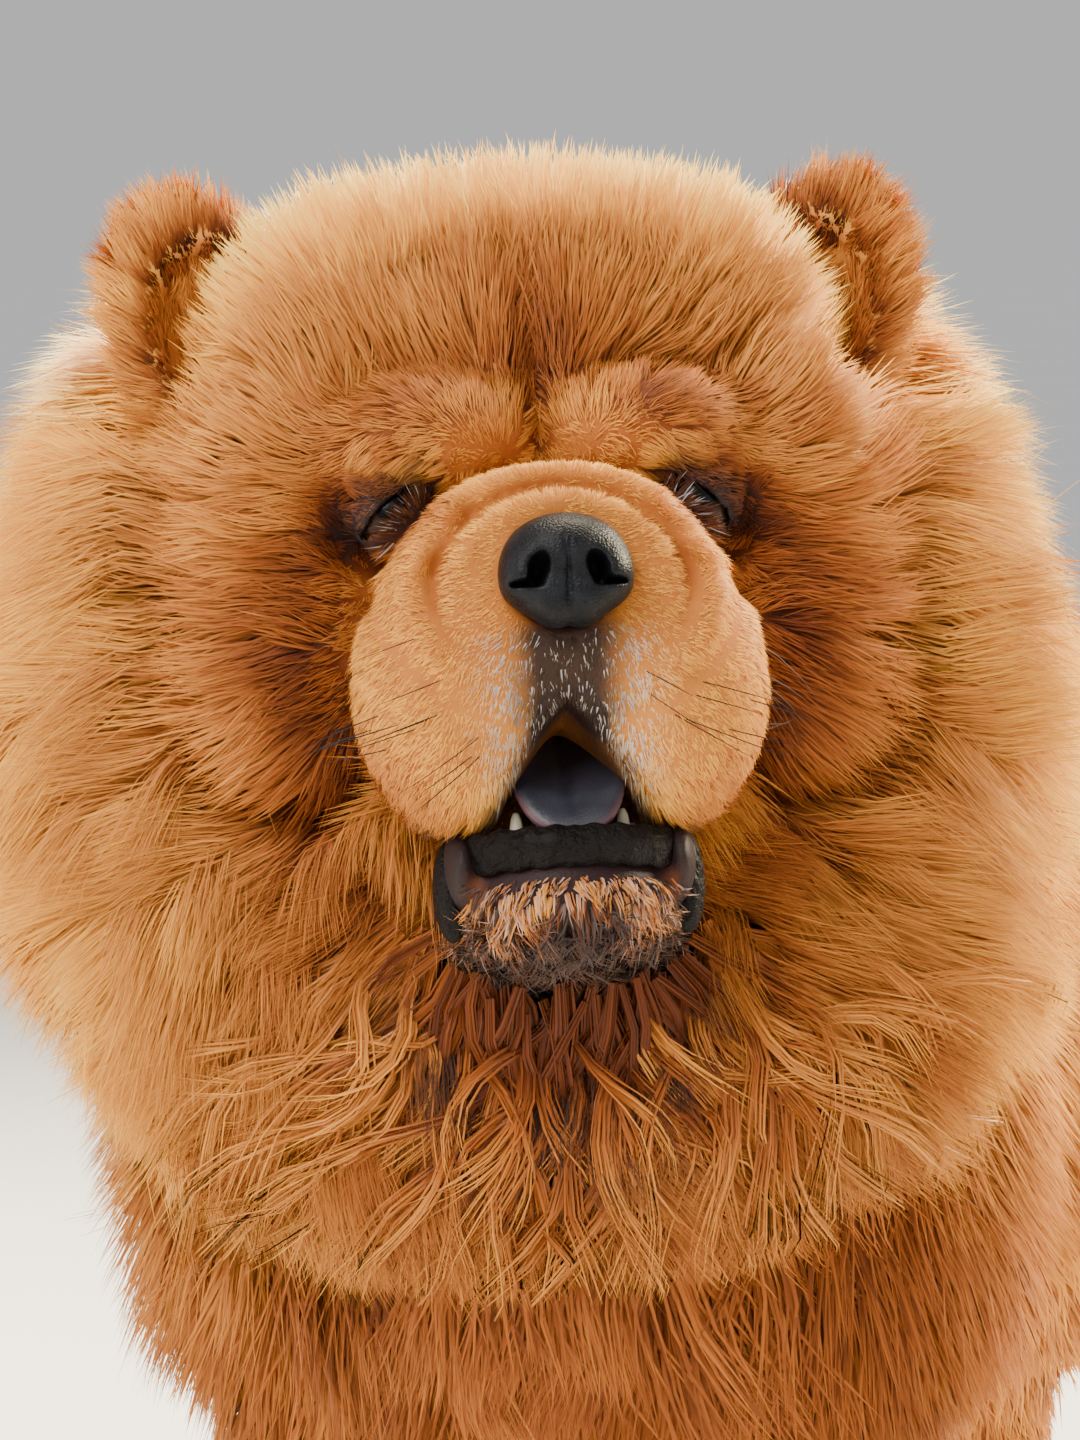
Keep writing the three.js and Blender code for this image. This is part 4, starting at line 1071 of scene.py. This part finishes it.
def beard_locks():
    """Long wet wavy locks that hang from the chin and the corners of the mouth over the ruff."""
    count, rows, strands = 190, 9, 16
    angle = np.radians(rng.uniform(-78, 78, count))
    level = rng.random(count) ** 1.3
    reach = 44 + 50 * level
    t = np.linspace(0, 1, rows + 1)[None]
    long = (72 + 70 * rng.random(count) + 12 * np.cos(angle))[:, None]
    heading = angle[:, None] * (0.35 + 0.45 * t) + rng.normal(0, 0.2, (count, 1))
    phase = rng.uniform(0, 6.28, (count, 1))
    swing = rng.uniform(0.35, 0.8, (count, 1))
    heading = heading + swing * np.sin(phase + t * rng.uniform(4.0, 7.5, (count, 1)))
    x = reach[:, None] * np.sin(angle)[:, None] * 0.86 + np.cumsum(np.sin(heading) * long / rows, 1)
    z = -94 - (reach * 0.62 * np.cos(angle))[:, None] - np.cumsum(np.cos(heading) * long / rows, 1)
    depth = 0.62 + 0.36 * soft(0.0, 0.5, t) - 0.04 * t + rng.uniform(-0.04, 0.05, (count, 1))
    low, high = ruff_front(x, z, 0.6), ruff_front(x, z, 1.0)
    start = soft(0.35, 0.0, t) * (1 - level[:, None])
    y = (low + (high - low) * (depth - 0.6) / 0.4) * (1 - start) + (96 - 20 * np.cos(angle)[:, None]) * start
    guide = from_head(rows_of(x, y, z))
    along = unit(np.gradient(guide, axis=1))
    outwards = head_way(0, -1, 0)
    side = unit(np.cross(along, outwards))
    thick = rng.uniform(2.2, 4.4, (count, 1)) * (1 - 0.82 * t ** 1.5) * (0.55 + 0.45 * soft(0, 0.25, t))
    ring = rng.uniform(0, 6.28, (count, strands, 1)) + t[:, None] * rng.normal(0, 1.0, (count, strands, 1))
    far = np.sqrt(rng.random((count, strands, 1))) * thick[:, None]
    path = guide[:, None] + side[:, None] * (far * np.cos(ring))[..., None]
    path = path + outwards * (far * np.sin(ring))[..., None] * 0.6
    path = path + rng.normal(0, 4.5, (count, strands, 1, 3)) * (t ** 2)[:, None, :, None]
    path = path.reshape(count * strands, rows + 1, 3)
    wet = soft(1.4, 0.75, np.abs(angle)) * (1 - 0.45 * level)
    tone = (0.47 - 0.33 * wet)[:, None] + (0.22 + 0.29 * wet)[:, None] * soft(0.2, 0.95, t)
    tone = np.repeat(tone, strands, 0) + rng.normal(0, 0.03, (count * strands, 1))
    width = rng.uniform(0.6, 1.15, len(path))
    out = np.broadcast_to(outwards, (len(path), 3))
    on_ruff = np.full(len(path), NAMES.index("ruff"))
    blades("beard", path[:, 0], out, on_ruff, path, width, tone, material=WET_HAIR, round_off=0.35, tilt=0.8)


def whiskers():
    def beside_nose(q):
        return (q[:, 2] < -14) & (q[:, 2] > -62) & (np.abs(q[:, 0]) > 24) & away_from_mouth(q)
    hair = Hair(["muzzle"], 0.004 / FUR, 9, 11, beside_nose)
    lie = head_way(hair.q[:, 0], 6, -14)
    hair.grow(lie, hair.spread(26, 46), hair.spread(12, 30), hair.spread(-6, 12))
    hair.blades("whiskers", np.full(len(lie), 0.42), 0.0, 0.8)


for grow in (muzzle_fur, face_fur, ear_fur, ruff_fur, body_fur, thigh_fur, leg_fur, paw_fur, tail_fur,
             chin_fur, beard_locks, whiskers):
    grow()


# Nose, mouth, eyes and claws
def head_piece(name, distance, low, high, step, material, slot, *nodes):
    """A fine piece made from distances in the head's layout."""
    points, quads = level_mesh(distance, low, high, step)
    piece = new_mesh(name, from_head(points), quads, material)
    if nodes:
        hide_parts(*nodes)
    return piece, points


def nose_leather(q):
    p = sided(q)
    top = egg(p, (0, 8, 4), (21.5, 17.5, 15.5))
    wing = egg(p, (14.5, 5, -3.5), (8.8, 13, 10.5))
    foot = egg(p, (4, 5, -11), (9.5, 12, 9.8))
    shape = join(7, join(5, top, wing), foot)
    r = p - np.array((10.2, -6, -1.5), F)
    c, s = math.cos(0.35), math.sin(0.35)
    turned = np.stack([r[..., 0] * c + r[..., 2] * s, r[..., 1], r[..., 2] * c - r[..., 0] * s], -1)
    bore = egg(turned, (0, 0, 0), (3.6, 12, 5.8))
    slit = egg(p, (14.6, -6, -6.6), (6.0, 10, 1.5))
    groove = egg(p, (0, -13.5, -8), (0.9, 7.5, 15))
    return carve(2.2, carve(1.6, shape, join(2, bore, slit)), groove)


TONGUE_AT, TONGUE_TILT, TONGUE_HALF = np.array((0, 62, -61), F), 0.60, 46


def tongue_frame(q):
    """Across, along (the tip is at -1) and over the tongue."""
    c, s = math.cos(TONGUE_TILT), math.sin(TONGUE_TILT)
    r = q - TONGUE_AT
    return r[..., 0] / 20.5, (r[..., 1] * c + r[..., 2] * s) / TONGUE_HALF, r[..., 2] * c - r[..., 1] * s


def tongue_edge(x, along):
    """1 at the tongue's outline, and less inside it."""
    return (np.abs(x) ** 2.6 + np.abs(along) ** 3.4) ** (1 / 2.8)


def tongue_shape(q):
    x, along, over = tongue_frame(q)
    over = over - 5 * x ** 2 + 7 * np.maximum(-along - 0.62, 0)
    edge = tongue_edge(x, along)
    groove = 1.6 * bump(x, 0, 0.11) * soft(-0.92, -0.5, along) * (over > 0)
    return (np.sqrt(edge ** 8 + (over / 4.6) ** 2) - 1) * 4.6 + groove


def teeth_shape(q):
    p = sided(q)
    shape = egg(p, (18.5, 44, -86), (2.5, 2.8, 8.0))
    for x, y in ((3.2, 33), (9.2, 35), (14.2, 38)):
        shape = np.minimum(shape, egg(p, (x, y, -90), (2.2, 1.8, 4.0)))
    for x, y in ((23, 58), (27, 68)):
        shape = np.minimum(shape, egg(p, (x, y, -87), (2.8, 3.8, 5.5)))
    return shape


def lip_shape(q):
    """The lower jaw's black lips: a low rim in front and hanging folds at the corners."""
    p = sided(q)
    x, y, z = p[..., 0], p[..., 1], p[..., 2]
    y_front = 62 - 37 * np.sqrt(np.clip(1 - (x / 39) ** 2, 0, 1))
    rim = np.hypot((y - y_front - 1) * 0.8, (z + 93 + 0.5 * np.sin(x * 0.7)) * 0.62) - 4.6
    rim = np.maximum(rim, x - 38)
    fold = egg(p, (41, 60, -103), (6.5, 11, 18))
    back = egg(p, (37, 82, -93), (8, 20, 9))
    return join(5, rim, fold, back)


def simple_material(name, colour, deep, rough, scale, strength, distance, coat):
    """Two clouded colours under bumps of one scale, with a thin clear coat."""
    material, tree, shader = nodes_of(name)
    cloud = noise(tree, scale * 0.12)
    tree.links.new(ramp(tree, [(0.35, deep), (0.65, colour)], cloud), shader.inputs["Base Color"])
    constants(shader, Roughness=rough, Specular_IOR_Level=0.1, Coat_Weight=coat, Coat_Roughness=0.18)
    bumped(tree, shader, noise(tree, scale), strength, distance)
    return material


def nose_material():
    material, tree, shader = nodes_of("nose_leather")
    black = ramp(tree, [(0.4, (0.004, 0.0045, 0.006)), (0.62, (0.010, 0.011, 0.014))], noise(tree, 130.0))
    tree.links.new(black, shader.inputs["Base Color"])
    place = tree.nodes.new("ShaderNodeNewGeometry")
    pebble = node(tree, "ShaderNodeTexVoronoi", Scale=1050.0)
    tree.links.new(place.outputs["Position"], pebble.inputs["Vector"])
    constants(shader, Roughness=0.42, Specular_IOR_Level=0.13, Coat_Weight=0.04, Coat_Roughness=0.25)
    bumped(tree, shader, pebble.outputs["Distance"], 0.55, 0.0005, True)
    return material


def tongue_material():
    material, tree, shader = nodes_of("tongue_blue_black")
    base = ramp(tree, [(0.35, (0.012, 0.013, 0.022)), (0.7, (0.026, 0.028, 0.042))], noise(tree, 90.0, 4.0))
    tree.links.new(mixed(tree, "rim", base, (0.13, 0.045, 0.060)), shader.inputs["Base Color"])
    constants(shader, Roughness=0.5, Coat_Weight=0.15, Coat_Roughness=0.3)
    bumped(tree, shader, noise(tree, 1400.0, 2.0), 0.5, 0.0004)
    return material


def eye_material():
    material, tree, shader = nodes_of("eye_dark_brown")
    pupil, iris, white = (0.002, 0.002, 0.002), (0.026, 0.010, 0.004), (0.03, 0.02, 0.016)
    stops = [(0.0, pupil), (0.19, pupil), (0.24, iris), (0.52, (0.012, 0.005, 0.003)),
             (0.60, (0.010, 0.006, 0.005)), (0.8, white)]
    tree.links.new(ramp(tree, stops, attribute(tree, "iris")), shader.inputs["Base Color"])
    constants(shader, Roughness=0.3, Specular_IOR_Level=0.12, Coat_Weight=0.07, Coat_Roughness=0.04)
    bumped(tree, shader, noise(tree, 500.0), 0.08, 0.0002)
    return material


head_piece("nose_leather", nose_leather, (-26, -14, -25), (26, 26, 24), 0.65,
           nose_material(), "nose", "nose")
tongue, tongue_points = head_piece("tongue_flesh", tongue_shape, (-26, 14, -104), (26, 114, -24), 1.2,
                                   tongue_material(), "tongue", "tongue")
give(tongue, "rim", soft(0.95, 1.0, tongue_edge(*tongue_frame(tongue_points)[:2])) * 0.6)
tooth_cream = simple_material("tooth_cream", (0.80, 0.74, 0.58), (0.62, 0.52, 0.36), 0.3, 300.0, 0.2, 0.0003,
                              0.3)
head_piece("teeth", teeth_shape, (-32, 28, -94), (32, 74, -74), 0.9, tooth_cream, "lip")
lip_black = simple_material("lip_black_wet", (0.010, 0.008, 0.008), (0.004, 0.003, 0.003), 0.55, 300.0, 1.0,
                            0.004, 0.03)
head_piece("lower_lips", lip_shape, (-54, 16, -128), (54, 112, -76), 1.2, lip_black, "lip")


def eyes_piece():
    """Both eyeballs, with the iris to the front."""
    rows, sides = 24, 32
    a = np.linspace(0.02, math.pi - 0.02, rows)
    b = np.linspace(0, 2 * math.pi, sides, endpoint=False)
    ring = np.sin(a)[:, None]
    ball = rows_of(ring * np.cos(b), -np.cos(a)[:, None], ring * np.sin(b)).reshape(-1, 3)
    k = np.arange(rows - 1)[:, None] * sides
    m = np.arange(sides)[None]
    n = (m + 1) % sides
    quads = np.stack([k + m, k + n, k + sides + n, k + sides + m], -1).reshape(-1, 4)
    points, faces, iris = [], [], []
    for side in (-1, 1):
        middle = np.array((side * EYE_AT[0], EYE_AT[1], EYE_AT[2]))
        faces.append(quads + len(points) * rows * sides)
        points.append(from_head(ball * EYE_RADIUS + middle))
        iris.append(np.repeat(a / math.pi * 1.35, sides))
    piece = new_mesh("eyes", np.concatenate(points), np.concatenate(faces), eye_material())
    give(piece, "iris", np.concatenate(iris))
    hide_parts("eye_left", "eye_right")


eyes_piece()


CLAW_PLACES = ((-32, -36), (-13, -46), (13, -46), (32, -36))  # from the middle of the foot
CLAW_CURL, CLAW_LONG, CLAW_HIGH, CLAW_DROP, CLAW_RADIUS = 1.35, 10, 12.5, 9.8, 3.6


def claws_piece():
    """Four blunt curved claws on each foot."""
    points, quads, ends = [], [], []
    rings, sides = 7, 10
    turnings = np.linspace(0, 2 * math.pi, sides, endpoint=False)
    feet = [(side * LEG_APART / 2, foot) for foot in PAWS_Y for side in (-1, 1)]
    for (foot_x, foot_y), (x, y) in ((foot, claw) for foot in feet for claw in CLAW_PLACES):
        first = len(points) * sides
        for t in np.linspace(0, 1, rings):
            lean = CLAW_CURL * t
            middle = np.array([foot_x + x * (1 + 0.05 * t), foot_y + y - CLAW_LONG * math.sin(lean),
                               CLAW_HIGH - CLAW_DROP * t ** 1.5])
            across, up = np.array([0.85, 0, 0]), np.array([0, -math.sin(lean), math.cos(lean)])
            ring = np.cos(turnings)[:, None] * across + np.sin(turnings)[:, None] * up
            points.append(middle + CLAW_RADIUS * (1 - 0.72 * t) * ring)
        for k in range(rings - 1):
            m = first + k * sides + np.arange(sides)
            n = first + k * sides + (np.arange(sides) + 1) % sides
            quads.append(np.stack([n, m, m + sides, n + sides], 1))
        ends.append(first + (rings - 1) * sides + np.arange(sides)[None, ::-1])
    horn = simple_material("claw_horn", (0.045, 0.030, 0.022), (0.016, 0.011, 0.009), 0.35, 260.0, 0.3,
                           0.0004, 0.2)
    new_mesh("claws", np.concatenate(points), [np.concatenate(quads), np.concatenate(ends)], horn)


claws_piece()


# Camera and light
def way_from(azimuth, elevation):
    """From the dog towards a camera or lamp; azimuth 0 is in front of it."""
    a, e = math.radians(azimuth), math.radians(elevation)
    return np.array([math.sin(a) * math.cos(e), -math.cos(a) * math.cos(e), math.sin(e)])


def place(thing, target, way, distance):
    """Puts a camera or lamp at a distance from its target, and turns it to face that."""
    bpy.context.scene.collection.objects.link(thing)
    thing.location = target + way * distance
    thing.rotation_euler = Vector(-way).to_track_quat("-Z", "Y").to_euler()


# The photograph's size and its nose, in pixels, and the height in metres that the frame shows at the nose
PHOTO_WIDE, PHOTO_TALL = 1080, 1440
NOSE_COLUMN, NOSE_ROW = 567, 565
FRAME_TALL = 0.491
CAMERA_AWAY = 2.2
camera = bpy.data.objects.new("camera", bpy.data.cameras.new("camera"))
place(camera, to_world([NOSE_AT])[0], way_from(13, 4), CAMERA_AWAY)
camera.data.sensor_fit = "VERTICAL"
camera.data.sensor_height = 24
camera.data.lens = camera.data.sensor_height * CAMERA_AWAY / FRAME_TALL
camera.data.shift_x = (PHOTO_WIDE / 2 - NOSE_COLUMN) / PHOTO_TALL
camera.data.shift_y = (NOSE_ROW - PHOTO_TALL / 2) / PHOTO_TALL
camera.data.clip_end = 100
bpy.context.scene.camera = camera
LIT_POINT = np.array([0.02, -0.15, 0.45])


def lamp(name, azimuth, elevation, distance, size, power, colour):
    light = bpy.data.objects.new(name, bpy.data.lights.new(name, "AREA"))
    light.data.shape = "DISK"
    light.data.size = size
    light.data.energy = power
    light.data.color = colour
    place(light, LIT_POINT, way_from(azimuth, elevation), distance)


lamp("key", -22, 44, 2.6, 1.8, 72, (1.0, 0.96, 0.90))
lamp("fill", 48, 10, 3.0, 2.4, 14, (1.0, 0.97, 0.94))
lamp("low_left", -62, 4, 2.6, 1.6, 26, (1.0, 0.94, 0.84))
lamp("rim_left", -142, 30, 2.2, 0.9, 130, (1.0, 0.86, 0.60))
lamp("rim_right", 132, 32, 2.2, 0.9, 160, (1.0, 0.86, 0.60))
lamp("top", 180, 70, 2.0, 1.0, 60, (1.0, 0.86, 0.62))

AIR = (0.92, 0.925, 0.93)
world = bpy.data.worlds.new("studio")
bpy.context.scene.world = world
world.use_nodes = True
world.node_tree.nodes["Background"].inputs["Color"].default_value = (*AIR, 1)
world.node_tree.nodes["Background"].inputs["Strength"].default_value = 0.6

floor_material, floor_tree, floor_shader = nodes_of("pale_floor")
pale = ramp(floor_tree, [(0.3, (0.70, 0.70, 0.70)), (0.7, (0.73, 0.73, 0.73))], noise(floor_tree, 3.0))
floor_tree.links.new(pale, floor_shader.inputs["Base Color"])
constants(floor_shader, Roughness=0.9, Specular_IOR_Level=0.1, Emission_Color=(*AIR, 1),
          Emission_Strength=0.17)
bpy.ops.mesh.primitive_plane_add(size=60)
floor = bpy.context.object
floor.name = "floor"
floor.data.materials.append(floor_material)
